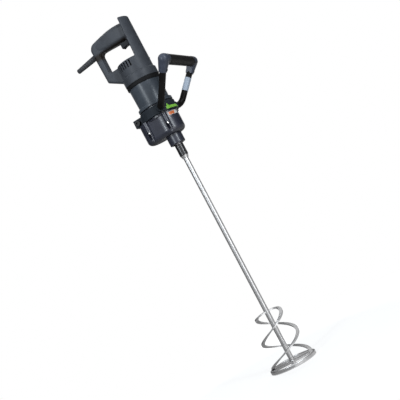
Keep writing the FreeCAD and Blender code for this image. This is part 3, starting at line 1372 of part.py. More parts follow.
def bow_path(side):
    start, bend, elbow = bow_way(side)
    inward = (start - bend).normalize()
    upward = leg_direction(side)
    half = inward.getAngle(upward) / 2
    reach = TUBE_BEND_R / math.tan(half)
    middle = (inward + upward).normalize()
    centre = bend + middle * (TUBE_BEND_R / math.sin(half))
    first = bend + inward * reach
    second = bend + upward * reach
    end = elbow - upward * ELBOW_TUBE_GAP
    edges = [
        Part.LineSegment(start, first).toShape(),
        Part.Arc(first, centre - middle * TUBE_BEND_R, second).toShape(),
        Part.LineSegment(second, end).toShape(),
    ]
    return Part.Wire(edges), start, inward


def pipe(side, radius):
    path, start, inward = bow_path(side)
    circle = Part.Wire(Part.makeCircle(radius, start, inward))
    return path.makePipeShell([circle], True, False)


def bow_tube(side):
    tube = pipe(side, TUBE_R).cut(pipe(side, TUBE_R - TUBE_WALL))
    cuts = [socket_bolt(side, SCREW_GAP)] + [leg_screw(side, SCREW_GAP)]
    return without(tube, cuts)


def elbow_screw(side, place, skin_r, extra):
    """Screw from the elbow's outer side into the tube whose axis holds the place."""
    out = V(0, 1, 0).cross(leg_direction(side)).normalize()
    seat = place + out * (skin_r - BOW_SCREW_HEAD_H + BOW_SCREW_PROUD)
    shank = bar(place + out * (TUBE_R - TUBE_WALL), seat, BOW_SCREW_R + extra)
    head = bar(seat, seat + out * (BOW_SCREW_HEAD_H + 2 * extra), BOW_SCREW_HEAD_R + extra)
    return joined([shank, head])


def leg_screw(side, extra):
    start, bend, elbow = bow_way(side)
    place = elbow - leg_direction(side) * BOW_SCREW_PLACE
    skirt_r = ELBOW_R + (ELBOW_FOOT_R - ELBOW_R) * BOW_SCREW_PLACE / ELBOW_LEG
    return elbow_screw(side, place, skirt_r, extra)


def core_screw(side, extra):
    y = side * (BOW_HALF_Y - (ELBOW_MOUTH + BOW_CORE_END) / 2)
    return elbow_screw(side, V(BOW_X, y, SOCKET_Z + BOW_RISE), ELBOW_R, extra)


def bow_elbow_screws():
    screws = [leg_screw(side, 0) for side in (-1, 1)] + [core_screw(side, 0) for side in (-1, 1)]
    return Part.makeCompound(screws)


def bow_core():
    end = BOW_HALF_Y - BOW_CORE_END
    axis_z = SOCKET_Z + BOW_RISE
    tube = along_y(BOW_X, axis_z, TUBE_R, -end, end)
    hollow = along_y(BOW_X, axis_z, TUBE_R - TUBE_WALL, -end - OVERRUN, end + OVERRUN)
    return without(tube, [hollow] + [core_screw(side, SCREW_GAP) for side in (-1, 1)])


def bow_elbow(side):
    """Moulded corner: a knee, a tapered skirt down the leg, a mouth at the grip and a web between them."""
    start, bend, corner = bow_way(side)
    along = leg_direction(side)
    foot = corner - along * ELBOW_LEG
    mouth = V(BOW_X, side * (BOW_HALF_Y - ELBOW_MOUTH), corner.z)
    skirt = bar(corner, foot, ELBOW_R, ELBOW_FOOT_R)
    web_top = corner - V(0, side * ELBOW_WEB_TOP, 0)
    web = bar(web_top, corner - along * ELBOW_WEB_FOOT, ELBOW_WEB_R, ELBOW_FOOT_R)
    body = joined([Part.makeSphere(ELBOW_R, corner), skirt, bar(mouth, corner, ELBOW_R), web])
    leg_room = bar(corner - along * ELBOW_TUBE_GAP, foot - along * OVERRUN, TUBE_R + SEAT_GAP)
    middle = V(BOW_X, 0, corner.z)
    core_room = bar(middle, V(BOW_X, side * (BOW_HALF_Y - BOW_CORE_END), corner.z), TUBE_R + SEAT_GAP)
    grip_room = bar(middle, mouth, BOW_GRIP_R + FACE_GAP)
    screws = [leg_screw(side, SCREW_GAP), core_screw(side, SCREW_GAP)]
    return without(body, [leg_room, core_room, grip_room] + screws)


def bow_grip():
    end = BOW_HALF_Y - ELBOW_MOUTH - FACE_GAP
    axis_z = SOCKET_Z + BOW_RISE
    sleeve = along_y(BOW_X, axis_z, BOW_GRIP_R, -end, end)
    sleeve = sleeve.makeFillet(BOW_GRIP_ROUND, edges_at_y(sleeve, -end) + edges_at_y(sleeve, end))
    return without(sleeve, [along_y(BOW_X, axis_z, TUBE_R + SEAT_GAP, -end - OVERRUN, end + OVERRUN)])


def tube_wrap():
    """Plain pale sleeve around the far leg, below its elbow."""
    start, bend, elbow = bow_way(1)
    along = leg_direction(1)
    top = elbow - along * (ELBOW_LEG + WRAP_DROP)
    foot = top - along * WRAP_LEN
    return bar(foot, top, TUBE_R + WRAP_T).cut(bar(foot, top, TUBE_R + SEAT_GAP))


def accent_band():
    """Plain coloured band on the clamp ring, kept clear of the sockets."""
    foot = CLAMP_Z + BAND_LIFT
    band = sector(CLAMP_R + SEAT_GAP, CLAMP_R + BAND_T, BAND_HALF_ANGLE, 0, foot, foot + BAND_H, MOTOR_X)
    bosses = []
    for side in (-1, 1):
        mouth = polar(SOCKET_OUT_R + OVERRUN, side * SOCKET_ANGLE, SOCKET_Z, MOTOR_X)
        root = polar(SOCKET_IN_R, side * SOCKET_ANGLE, SOCKET_Z, MOTOR_X)
        bosses.append(bar(root, mouth, SOCKET_R + SEAT_GAP))
    return without(band, bosses)


def rating_plate():
    """Blank plate on the gear housing."""
    top = CASE_TOP_Z - PLATE_TRIM_DROP
    half = (PLATE_TRIM_TO - PLATE_TRIM_FROM) / 2
    middle = (PLATE_TRIM_TO + PLATE_TRIM_FROM) / 2
    inner = SPINDLE_LOBE_R + SEAT_GAP
    return sector(inner, SPINDLE_LOBE_R + PLATE_TRIM_T, half, middle, top - PLATE_TRIM_H, top, 0)


def all_pieces():
    shell = handle_whole()
    outer = handle_outer()
    return {
        "handle_shell_left": handle_half(shell, -1),
        "handle_shell_right": handle_half(shell, 1),
        "handle_screws": handle_screws(),
        "trigger": trigger(),
        "lock_button": lock_button(),
        "switch_module": switch_module(),
        "cable_boot": cable_boot(outer),
        "cord_clamp": cord_clamp(),
        "motor_housing": motor_housing(),
        "seal_ring": seal_ring(),
        "stator_core": stator_core(),
        "field_coils": field_coils(),
        "brush_plate": brush_plate(),
        "brush_holders": brush_holders(),
        "carbon_brushes": carbon_brushes(),
        "armature_shaft": armature_shaft(),
        "armature_core": armature_core(),
        "armature_windings": armature_windings(),
        "commutator": commutator(),
        "cooling_fan": cooling_fan(),
        "armature_bearing_front": armature_bearing_front(),
        "armature_bearing_rear": armature_bearing_rear(),
        "gear_flange": gear_flange(),
        "flange_screws": flange_screws(),
        "gear_housing": gear_housing(),
        "gear_housing_screws": gear_housing_screws(),
        "bearing_bridge": bearing_bridge(),
        "layshaft": layshaft(),
        "layshaft_gear": layshaft_gear(),
        "layshaft_bush_upper": layshaft_bush_upper(),
        "layshaft_bush_lower": layshaft_bush_lower(),
        "spindle": spindle(),
        "spindle_gear": spindle_gear(),
        "spindle_key": spindle_key(),
        "spindle_bearing_upper": spindle_bearing_upper(),
        "spindle_bearing_lower": spindle_bearing_lower(),
        "spindle_seal": spindle_seal(),
        "clamp_ring": clamp_ring(),
        "clamp_screw": clamp_screw(),
        "clamp_nut": clamp_nut(),
        "bow_tube_left": bow_tube(-1),
        "bow_tube_right": bow_tube(1),
        "bow_elbow_left": bow_elbow(-1),
        "bow_elbow_right": bow_elbow(1),
        "bow_core": bow_core(),
        "bow_grip": bow_grip(),
        "bow_elbow_screws": bow_elbow_screws(),
        "bow_socket_bolts": socket_bolts(),
        "accent_band": accent_band(),
        "rating_plate": rating_plate(),
        "tube_wrap": tube_wrap(),
        "paddle_adaptor": paddle_adaptor(),
        "paddle_collar": paddle_collar(),
        "paddle_rod": paddle_rod(),
        "paddle_strip_a": paddle_strip(180),
        "paddle_strip_b": paddle_strip(0),
        "paddle_ring": paddle_ring(),
        "paddle_spokes": paddle_spokes(),
    }


os.makedirs("parts", exist_ok=True)
for node, shape in all_pieces().items():
    shape.exportStep("parts/" + node + ".step")
    print(node, len(shape.Solids), round(shape.Volume, 1), shape.isValid())
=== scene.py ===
import json
import math

import bpy
from mathutils import Matrix, Vector


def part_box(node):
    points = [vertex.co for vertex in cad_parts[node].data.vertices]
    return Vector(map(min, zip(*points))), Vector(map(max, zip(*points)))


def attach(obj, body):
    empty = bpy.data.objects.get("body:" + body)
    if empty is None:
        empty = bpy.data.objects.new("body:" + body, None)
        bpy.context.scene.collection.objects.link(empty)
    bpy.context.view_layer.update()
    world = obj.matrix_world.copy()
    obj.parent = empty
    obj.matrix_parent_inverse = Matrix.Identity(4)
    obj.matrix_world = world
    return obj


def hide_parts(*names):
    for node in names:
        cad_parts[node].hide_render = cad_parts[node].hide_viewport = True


# Mixing drill: looks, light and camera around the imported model. Metres and degrees.

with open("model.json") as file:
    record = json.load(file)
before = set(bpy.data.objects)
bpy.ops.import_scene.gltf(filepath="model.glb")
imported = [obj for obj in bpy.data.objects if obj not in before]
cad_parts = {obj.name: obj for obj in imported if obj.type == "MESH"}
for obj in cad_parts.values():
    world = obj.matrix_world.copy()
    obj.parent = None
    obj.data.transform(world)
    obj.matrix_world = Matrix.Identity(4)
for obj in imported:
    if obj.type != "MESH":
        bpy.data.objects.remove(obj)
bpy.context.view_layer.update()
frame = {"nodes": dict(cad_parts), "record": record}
NODES = frame["nodes"]

# Axis of the round motor, beside the spindle's
MOTOR_X = -0.006

# Sizes of the bow handle
BOW_X = 0.101
BOW_HALF_Y = 0.0955
BOW_Z = 0.776
BEND_R = 0.0765
BEND_ANGLE = 60.0
BEND_Z = 0.6935
ELBOW_R = 0.0133
ELBOW_FOOT_R = 0.0098
ELBOW_LEG = 0.031
ELBOW_MOUTH = 0.015
ELBOW_WEB_R = 0.0114
ELBOW_WEB_TOP = 0.011
ELBOW_WEB_FOOT = 0.025
ELBOW_SPARE = 0.004
ELBOW_VOXEL = 0.0007
ELBOW_SMOOTHING = 6
GRIP_R = 0.0128
GRIP_EDGE = 0.0012
GRIP_EDGE_SHARES = (0.3, 0.35)
GRIP_GROOVE = 0.0006
GRIP_GROOVE_PLACE = 0.011
GRIP_GROOVE_WALL_SHARE = 0.3

# Sizes of the cable sleeve
SLEEVE_ROOT = Vector((-0.0883, 0, 0.894))
SLEEVE_TILT = 6.5
SLEEVE_LEN = 0.061
SLEEVE_IN = 0.006
SLEEVE_ROOT_R = 0.0078
SLEEVE_TIP_R = 0.006
SLEEVE_BORE_R = 0.0043
SLEEVE_RINGS = 9
SLEEVE_GROOVE = 0.00025
SLEEVE_LIP_SHARE = 0.16
SLEEVE_FLOOR_SHARE = 0.1
SLEEVE_TIP_ROUND = 0.0018
SLEEVE_TIP_TURNS = (0, 30, 60, 90)

# Sizes of the dark screens behind the vents, which paint the shade inside the slots
SCREEN_R = 0.036
SCREEN_T = 0.0008
SCREEN_H = 0.017
SCREEN_Z = 0.825
SCREEN_FROM = 73.0
SCREEN_TO = 138.0
SCREEN_SIDES = 240
SCREEN_FOLD = 0.0004

# Sizes of the hexagon adaptor
HEX_SIDES = 6
HEX_FLATS = 0.021
HEX_FOOT_Z = 0.569
HEX_TOP_Z = 0.6
HEX_EDGE = 0.0038
HEX_CROWN = 0.0011
STUD_R = 0.007
STUD_TOP_Z = 0.617

# Sizes of the paddle and its weld beads
PADDLE_TURN = 21.0
ROD_R = 0.0065
ROD_BEAD_TURN = 12
RING_IN_R = 0.055
RING_TOP_Z = 0.009
SPOKE_HALF_W = 0.006
SPOKE_BEADS = 4
SPOKE_BEAD_SHARE = 0.8
STRIP_ROOT_TURN = 45.0
STRIP_ROOT_Z = 0.141
STRIP_ROOT_BEADS = 4
STRIP_ROOT_BEAD_TURN = 11
STRIP_HALF_T = 0.0018
STRIP_FOOT_TURN = 6.0
STRIP_FOOT_TOP_Z = 0.0082
STRIP_FOOT_BEADS = 9
STRIP_PITCH = 0.000348
BEAD_R = 0.0013
BEAD_VOXEL = 0.00035
BEAD_SMOOTHING = 3

# Sizes of the coloured stripe on the clamp ring
STRIPE_T = 0.0004
STRIPE_SIDES = 240
STRIPE_HALF_TURN = 44.25
STRIPE_PEAK = 0.0066
STRIPE_PEAK_TURN = -36.0
STRIPE_PEAK_SPREAD = 3.2

# Where the painted shade under the handle's grip and its shell seam fade in, each from nothing to full
UNDER_SHADE_TOP = (0.898, 0.889)
UNDER_SHADE_FOOT = (0.872, 0.882)
UNDER_SHADE_FRONT = (0.018, 0.008)
SEAM_HALF = (0.0004, 0.0001)

# Where the warm field on the plate fades in, as shares of the plate
FIELD_HEIGHT_SHARES = (0.86, 0.8)
FIELD_START_SHARES = (0.06, 0.09)
FIELD_END_SHARES = (0.86, 0.8)

# Skins: depth of grain and pits, and the noise levels over which mottle, scuffs and streaks come up
GRAIN_DEPTH = 0.0002
PIT_DEPTH = 0.0001
MOTTLE_LEVELS = (0.3, 0.7)
SCUFF_LEVELS = (0.62, 0.74)
STREAK_LEVELS = (0.3, 0.7)

# Camera, from the photograph: place, turn and rise, roll in radians, and focal length in millimetres
CAMERA_PLACE = Vector((0.73316, -1.95790, 0.33042))
CAMERA_AZIMUTH = 21.0
CAMERA_RISE = -3.4
CAMERA_ROLL = -0.48404731
CAMERA_LENS = 77.4
CAMERA_SENSOR = 36.0

# Floor and backdrop: the shadow lies inside the near reach, where the floor glows less by itself
FLOOR_SIZE = 12.0
FLOOR_GREY = 0.4
FLOOR_NEAR = (0.8, 0.3)
FLOOR_NEAR_GLOW = 1.25
FLOOR_SHADOW_SHARE = 0.65
WORLD_STRENGTH = 0.04

# Grey cards around the object, which only the gloss shows, and their greys
CARD_R = 0.8
CARD_SIDES = 180
CARD_FLOOR_Z = 0.002
CARD_SPLIT_Z = 0.67
CARD_TOP_Z = 1.6
FAR_GREY = 0.1
HEAD_GREY = 0.05

# Lamps: what they point at and their slightly cool tint
LAMP_TARGET = Vector((0, 0, 0.76))
LAMP_TINT = (0.86, 0.94, 1.0)


# Mesh helpers


def start_clean():
    if bpy.context.object and bpy.context.object.mode != "OBJECT":
        bpy.ops.object.mode_set(mode="OBJECT")
    bpy.ops.object.select_all(action="DESELECT")


def use_only(piece):
    start_clean()
    piece.select_set(True)
    bpy.context.view_layer.objects.active = piece


def apply_place(piece):
    use_only(piece)
    bpy.ops.object.transform_apply(location=True, rotation=True, scale=True)


def name_piece(piece, name):
    piece.name = name
    piece.data.name = name


def start_piece(name, add, **sizes):
    """Adds a primitive by its operator, names it and puts its place into its mesh."""
    start_clean()
    add(**sizes)
    piece = bpy.context.object
    name_piece(piece, name)
    apply_place(piece)
    return piece


def modify(piece, kind, **values):
    """Adds one modifier, sets it and applies it."""
    use_only(piece)
    modifier = piece.modifiers.new(kind.lower(), kind)
    for label, value in values.items():
        setattr(modifier, label, value)
    bpy.ops.object.modifier_apply(modifier=modifier.name)


def smooth_by_angle(piece, degrees=35.0):
    use_only(piece)
    bpy.ops.object.shade_smooth_by_angle(angle=math.radians(degrees))


def outward_faces(piece):
    use_only(piece)
    bpy.ops.object.mode_set(mode="EDIT")
    bpy.ops.mesh.select_all(action="SELECT")
    bpy.ops.mesh.normals_make_consistent(inside=False)
    bpy.ops.object.mode_set(mode="OBJECT")


def edit_points(piece, test):
    """Opens the piece for editing with the points selected that pass a test of their place."""
    use_only(piece)
    for point in piece.data.vertices:
        point.select = test(point.co)
    for edge in piece.data.edges:
        edge.select = all(piece.data.vertices[i].select for i in edge.vertices)
    for face in piece.data.polygons:
        face.select = all(piece.data.vertices[i].select for i in face.vertices)
    bpy.ops.object.mode_set(mode="EDIT")


def edit_edges(piece, test):
    """Opens the piece for editing with the edges selected that pass a test of their two ends."""
    use_only(piece)
    bpy.ops.object.mode_set(mode="EDIT")
    bpy.ops.mesh.select_mode(type="EDGE")
    bpy.ops.mesh.select_all(action="DESELECT")
    bpy.ops.object.mode_set(mode="OBJECT")
    points = piece.data.vertices
    for edge in piece.data.edges:
        edge.select = test(points[edge.vertices[0]].co, points[edge.vertices[1]].co)
    bpy.ops.object.mode_set(mode="EDIT")


def close_edit():
    bpy.ops.mesh.select_mode(type="VERT")
    bpy.ops.object.mode_set(mode="OBJECT")


def delete_points(piece, test):
    edit_points(piece, test)
    bpy.ops.mesh.delete(type="VERT")
    close_edit()


def bevel_edges(piece, test, width, steps):
    edit_edges(piece, test)
    bpy.ops.mesh.bevel(offset=width, segments=steps)
    close_edit()


def join(name, parts):
    start_clean()
    for part in parts:
        part.select_set(True)
    bpy.context.view_layer.objects.active = parts[0]
    bpy.ops.object.join()
    name_piece(parts[0], name)
    return parts[0]


def turned(name, profile, sides=48):
    """Round piece along +Z through the (height, radius) steps of its profile."""
    start_clean()
    height, radius = profile[0]
    bpy.ops.mesh.primitive_circle_add(vertices=sides, radius=radius, fill_type="NGON",
                                      location=(0, 0, height))
    piece = bpy.context.object
    bpy.ops.object.mode_set(mode="EDIT")
    bpy.ops.mesh.select_all(action="SELECT")
    for next_height, next_radius in profile[1:]:
        rise = {"value": (0, 0, next_height - height)}
        bpy.ops.mesh.extrude_region_move(TRANSFORM_OT_translate=rise)
        share = next_radius / radius
        bpy.ops.transform.resize(value=(share, share, 1))
        height, radius = next_height, next_radius
    bpy.ops.object.mode_set(mode="OBJECT")
    name_piece(piece, name)
    apply_place(piece)
    outward_faces(piece)
    return piece


def aim(piece, start, direction):
    """Turns a piece made along +Z into a direction and moves its foot to a start."""
    turn = direction.to_track_quat("Z", "Y").to_matrix().to_4x4()
    piece.matrix_world = Matrix.Translation(start) @ turn
    apply_place(piece)


def turn_about_motor(place):
    """Turn of a place around the motor's axis, from the bow's side."""
    return math.degrees(math.atan2(place.y, place.x - MOTOR_X))


# Shader groups


def new_group(name, inputs, outputs):
    group = bpy.data.node_groups.new(name, "ShaderNodeTree")
    for label, kind, value in inputs:
        socket = group.interface.new_socket(label, in_out="INPUT", socket_type=kind)
        if value is not None:
            socket.default_value = value
    for label, kind in outputs:
        group.interface.new_socket(label, in_out="OUTPUT", socket_type=kind)
    source = group.nodes.new("NodeGroupInput")
    sink = group.nodes.new("NodeGroupOutput")
    return group, source, sink


def node(tree, kind, links=(), **values):
    """New node with its settings, its plain socket values and its links."""
    made = tree.nodes.new(kind)
    for label, value in values.items():
        setattr(made, label, value)
    for socket, value in links:
        if isinstance(value, bpy.types.NodeSocket):
            tree.links.new(value, made.inputs[socket])
        else:
            made.inputs[socket].default_value = value
    return made


def ramp(tree, value, low, high):
    """Mask that rises from 0 at low to 1 at high."""
    made = node(tree, "ShaderNodeMapRange", [("Value", value), ("From Min", low), ("From Max", high)],
                interpolation_type="SMOOTHSTEP")
    return made.outputs["Result"]


def sums(tree, operation, *values):
    """Result of one sum with one or two values."""
    return node(tree, "ShaderNodeMath", enumerate(values), operation=operation).outputs[0]


def mixed(tree, mask, first, second):
    """Colour that goes from the first to the second with the mask."""
    return node(tree, "ShaderNodeMix", [(0, mask), (6, first), (7, second)], data_type="RGBA").outputs[2]


def make_moulded_group():
    """Fine grain, slow mottle and sparse scuffs of a moulded or painted skin."""
    group, source, sink = new_group(
        "moulded_skin",
        [("Vector", "NodeSocketVector", None), ("Grain Scale", "NodeSocketFloat", 2600.0),
         ("Mottle Scale", "NodeSocketFloat", 45.0), ("Scuff Scale", "NodeSocketFloat", 70.0)],
        [("Grain", "NodeSocketFloat"), ("Mottle", "NodeSocketFloat"), ("Scuff", "NodeSocketFloat")])
    vector = source.outputs["Vector"]
    grain = node(group, "ShaderNodeTexNoise",
                 [("Vector", vector), ("Scale", source.outputs["Grain Scale"]), ("Detail", 3.0),
                  ("Roughness", 0.6)])
    mottle = node(group, "ShaderNodeTexNoise",
                  [("Vector", vector), ("Scale", source.outputs["Mottle Scale"]), ("Detail", 4.0)])
    stretched = node(group, "ShaderNodeMapping",
                     [("Vector", vector), ("Rotation", (0.5, 0.3, 0.9)), ("Scale", (1.0, 9.0, 5.0))])
    scuff = node(group, "ShaderNodeTexNoise",
                 [("Vector", stretched.outputs[0]), ("Scale", source.outputs["Scuff Scale"]),
                  ("Detail", 6.0), ("Roughness", 0.7)])
    group.links.new(grain.outputs["Fac"], sink.inputs["Grain"])
    group.links.new(ramp(group, mottle.outputs["Fac"], *MOTTLE_LEVELS), sink.inputs["Mottle"])
    group.links.new(ramp(group, scuff.outputs["Fac"], *SCUFF_LEVELS), sink.inputs["Scuff"])
    return group


def make_metal_group():
    """Drawn streaks, zinc spangle and fine pits of a metal skin."""
    group, source, sink = new_group(
        "metal_skin",
        [("Vector", "NodeSocketVector", None), ("Streak Scale", "NodeSocketFloat", 500.0),
         ("Spangle Scale", "NodeSocketFloat", 300.0)],
        [("Streak", "NodeSocketFloat"), ("Spangle", "NodeSocketFloat"), ("Pits", "NodeSocketFloat")])
    vector = source.outputs["Vector"]
    drawn = node(group, "ShaderNodeMapping", [("Vector", vector), ("Scale", (1.0, 1.0, 0.04))])
    streak = node(group, "ShaderNodeTexNoise",
                  [("Vector", drawn.outputs[0]), ("Scale", source.outputs["Streak Scale"]), ("Detail", 4.0)])
    spangle = node(group, "ShaderNodeTexVoronoi",
                   [("Vector", vector), ("Scale", source.outputs["Spangle Scale"])])
    shade = node(group, "ShaderNodeSeparateColor", [("Color", spangle.outputs["Color"])])
    pits = node(group, "ShaderNodeTexNoise", [("Vector", vector), ("Scale", 1800.0), ("Detail", 3.0)])
    group.links.new(ramp(group, streak.outputs["Fac"], *STREAK_LEVELS), sink.inputs["Streak"])
    group.links.new(shade.outputs["Red"], sink.inputs["Spangle"])
    group.links.new(pits.outputs["Fac"], sink.inputs["Pits"])
    return group


MOULDED_SKIN = make_moulded_group()
METAL_SKIN = make_metal_group()


# Materials


def blank(name):
    material = bpy.data.materials.new(name)
    material.use_nodes = True
    tree = material.node_tree
    shader = tree.nodes["Principled BSDF"]
    place = tree.nodes.new("ShaderNodeTexCoord").outputs["Object"]
    return material, tree, shader, place


def colour(red, green, blue):
    return (red, green, blue, 1.0)


def set_plain(shader, values):
    """Sets values that are the same all over on the shader's own sockets."""
    for label, value in values.items():
        shader.inputs[label.replace("_", " ")].default_value = value


def start_moulded(name, dark, light, rough=(0.4, 0.55), bump=0.12, grain=2600.0, mottle=45.0, scuff=0.12,
                  **plain):
    """Moulded or painted skin with its tree, shader, coordinates and colour, for more to be painted on."""
    material, tree, shader, place = blank(name)
    skin = node(tree, "ShaderNodeGroup", node_tree=MOULDED_SKIN)
    tree.links.new(place, skin.inputs["Vector"])
    skin.inputs["Grain Scale"].default_value = grain
    skin.inputs["Mottle Scale"].default_value = mottle
    base = mixed(tree, skin.outputs["Mottle"], dark, light)
    worn = sums(tree, "MULTIPLY", skin.outputs["Scuff"], scuff)
    scuffed = mixed(tree, worn, base, colour(0.35, 0.36, 0.38))
    tree.links.new(scuffed, shader.inputs["Base Color"])
    spread = node(tree, "ShaderNodeMapRange",
                  [("Value", skin.outputs["Mottle"]), ("To Min", rough[0]), ("To Max", rough[1])])
    tree.links.new(spread.outputs[0], shader.inputs["Roughness"])
    height = node(tree, "ShaderNodeBump",
                  [("Height", skin.outputs["Grain"]), ("Strength", bump), ("Distance", GRAIN_DEPTH)])
    tree.links.new(height.outputs[0], shader.inputs["Normal"])
    set_plain(shader, plain)
    return material, tree, shader, place, scuffed


def moulded(name, dark, light, **values):
    """Plastic, rubber or paint: two close colours, a rough spread and a grain height."""
    return start_moulded(name, dark, light, **values)[0]


def metal(name, dark, light, rough=(0.25, 0.4), spangle=0.3, bump=0.05):
    """Bare metal: two close colours, drawn streaks and spangle."""
    material, tree, shader, place = blank(name)
    skin = node(tree, "ShaderNodeGroup", node_tree=METAL_SKIN)
    tree.links.new(place, skin.inputs["Vector"])
    part = sums(tree, "MULTIPLY", skin.outputs["Spangle"], spangle)
    rest = sums(tree, "MULTIPLY", skin.outputs["Streak"], 1.0 - spangle)
    mask = sums(tree, "ADD", part, rest)
    tree.links.new(mixed(tree, mask, dark, light), shader.inputs["Base Color"])
    spread = node(tree, "ShaderNodeMapRange",
                  [("Value", mask), ("To Min", rough[1]), ("To Max", rough[0])])
    tree.links.new(spread.outputs[0], shader.inputs["Roughness"])
    height = node(tree, "ShaderNodeBump",
                  [("Height", skin.outputs["Pits"]), ("Strength", bump), ("Distance", PIT_DEPTH)])
    tree.links.new(height.outputs[0], shader.inputs["Normal"])
    set_plain(shader, {"Metallic": 1.0})
    return material


def make_handle_plastic():
    """Charcoal moulding with a painted dark brown shade under the grip, and a fine line where the two shells
    meet.
    """
    material, tree, shader, place, base = start_moulded(
        "handle_plastic", colour(0.053, 0.056, 0.064), colour(0.064, 0.068, 0.078),
        rough=(0.42, 0.5), bump=0.03, scuff=0.03, Specular_IOR_Level=0.15)
    axes = node(tree, "ShaderNodeSeparateXYZ", [("Vector", place)])
    below = ramp(tree, axes.outputs["Z"], *UNDER_SHADE_TOP)
    above = ramp(tree, axes.outputs["Z"], *UNDER_SHADE_FOOT)
    left = ramp(tree, axes.outputs["X"], *UNDER_SHADE_FRONT)
    under_shade_mask = sums(tree, "MULTIPLY", sums(tree, "MULTIPLY", below, above), left)
    # Painted shade: dark brown mixed in under the grip, where the shade falls.
    with_under_shade = mixed(tree, under_shade_mask, base, colour(0.014, 0.0105, 0.0085))
    seam = ramp(tree, sums(tree, "ABSOLUTE", axes.outputs["Y"]), *SEAM_HALF)
    tree.links.new(mixed(tree, seam, with_under_shade, colour(0.012, 0.012, 0.013)), shader.inputs["Base Color"])
    return material


def make_label():
    """Blank plate: a pale ground with one plain warm field."""
    material, tree, shader, place, base = start_moulded(
        "label_film", colour(0.78, 0.74, 0.7), colour(0.86, 0.82, 0.78),
        rough=(0.3, 0.4), bump=0.02, scuff=0.05)
    axes = node(tree, "ShaderNodeSeparateXYZ", [("Vector", place)])
    low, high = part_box("rating_plate")
    middle = (low.z + high.z) / 2
    half = (high.z - low.z) / 2

    def along(shares):
        return [low.x + (high.x - low.x) * share for share in shares]

    off = sums(tree, "ABSOLUTE", sums(tree, "SUBTRACT", axes.outputs["Z"], middle))
    inside = ramp(tree, off, *[half * share for share in FIELD_HEIGHT_SHARES])
    near = ramp(tree, axes.outputs["X"], *along(FIELD_START_SHARES))
    far = ramp(tree, axes.outputs["X"], *along(FIELD_END_SHARES))
    field = sums(tree, "MULTIPLY", inside, sums(tree, "MULTIPLY", near, far))
    tree.links.new(mixed(tree, field, base, colour(0.75, 0.19, 0.06)), shader.inputs["Base Color"])
    return material


FINISHES = {
    "handle_plastic": make_handle_plastic(),
    "control_plastic": moulded(
        "control_plastic", colour(0.016, 0.017, 0.02), colour(0.022, 0.023, 0.027),
        bump=0.04, scuff=0.05, Specular_IOR_Level=0.15),
    "inner_plastic": moulded(
        "inner_plastic", colour(0.02, 0.02, 0.022), colour(0.03, 0.03, 0.033), Specular_IOR_Level=0.2),
    "motor_shell": moulded(
        "motor_shell", colour(0.058, 0.067, 0.08), colour(0.068, 0.078, 0.093),
        rough=(0.28, 0.33), bump=0.02, scuff=0.02, Specular_IOR_Level=0.24),
    "rubber": moulded(
        "rubber", colour(0.009, 0.009, 0.0095), colour(0.013, 0.013, 0.0135),
        rough=(0.55, 0.7), bump=0.1, scuff=0.05, Specular_IOR_Level=0.08),
    "grip_rubber": moulded(
        "grip_rubber", colour(0.0125, 0.0115, 0.0112), colour(0.0175, 0.016, 0.0155),
        rough=(0.46, 0.56), bump=0.04, scuff=0.015, Specular_IOR_Level=0.1),
    "gear_casting": moulded(
        "gear_casting", colour(0.025, 0.0265, 0.04), colour(0.032, 0.034, 0.05),
        rough=(0.28, 0.33), bump=0.012, grain=1500.0, scuff=0.02, Specular_IOR_Level=0.5),
    "clamp_black": moulded(
        "clamp_black", colour(0.022, 0.026, 0.032), colour(0.029, 0.034, 0.041),
        rough=(0.48, 0.58), bump=0.05, grain=1500.0, scuff=0.04, Specular_IOR_Level=0.08),
    "tube_black": moulded(
        "tube_black", colour(0.007, 0.006, 0.0056), colour(0.01, 0.0088, 0.0084),
        rough=(0.32, 0.4), bump=0.03, grain=900.0, scuff=0.03, Specular_IOR_Level=0.07),
    "elbow_plastic": moulded(
        "elbow_plastic", colour(0.057, 0.063, 0.086), colour(0.069, 0.076, 0.103),
        rough=(0.3, 0.36), bump=0.03, scuff=0.03, Specular_IOR_Level=0.2),
    "band_green": moulded(
        "band_green", colour(0.24, 0.58, 0.06), colour(0.3, 0.66, 0.09),
        rough=(0.35, 0.45), bump=0.03, scuff=0.03),
    "plate_pale": make_label(),
    "wrap_pale": moulded(
        "wrap_pale", colour(0.36, 0.41, 0.49), colour(0.41, 0.46, 0.54),
        rough=(0.3, 0.42), bump=0.03, mottle=60.0, scuff=0.04),
    "adaptor_black": moulded(
        "adaptor_black", colour(0.005, 0.005, 0.007), colour(0.008, 0.008, 0.011),
        rough=(0.22, 0.27), bump=0.005, scuff=0.02, Specular_IOR_Level=0.85),
    "black_fastener": moulded(
        "black_fastener", colour(0.009, 0.009, 0.01), colour(0.015, 0.015, 0.016),
        rough=(0.3, 0.4), bump=0.05, scuff=0.05, Specular_IOR_Level=0.25),
    "carbon": moulded("carbon", colour(0.03, 0.03, 0.03), colour(0.05, 0.05, 0.05), rough=(0.7, 0.85)),
    "inner_casting": metal(
        "inner_casting", colour(0.5, 0.5, 0.52), colour(0.62, 0.62, 0.64), rough=(0.4, 0.55)),
    "steel": metal("steel", colour(0.36, 0.36, 0.38), colour(0.52, 0.52, 0.54)),
    "fastener": metal("fastener", colour(0.5, 0.5, 0.5), colour(0.66, 0.66, 0.66), rough=(0.22, 0.35)),
    "laminations": metal(
        "laminations", colour(0.16, 0.16, 0.17), colour(0.25, 0.25, 0.26), rough=(0.45, 0.6)),
    "copper": metal("copper", colour(0.5, 0.22, 0.1), colour(0.66, 0.32, 0.17), rough=(0.3, 0.45)),
    "brass": metal("brass", colour(0.55, 0.4, 0.16), colour(0.68, 0.52, 0.25)),
    "galvanised": metal(
        "galvanised", colour(0.44, 0.44, 0.445), colour(0.6, 0.6, 0.605),
        rough=(0.36, 0.41), spangle=0.25, bump=0.006),
}

SLEEVE_RUBBER = moulded(
    "sleeve_rubber", colour(0.038, 0.038, 0.042), colour(0.052, 0.052, 0.056),
    rough=(0.45, 0.58), bump=0.12, Specular_IOR_Level=0.25)


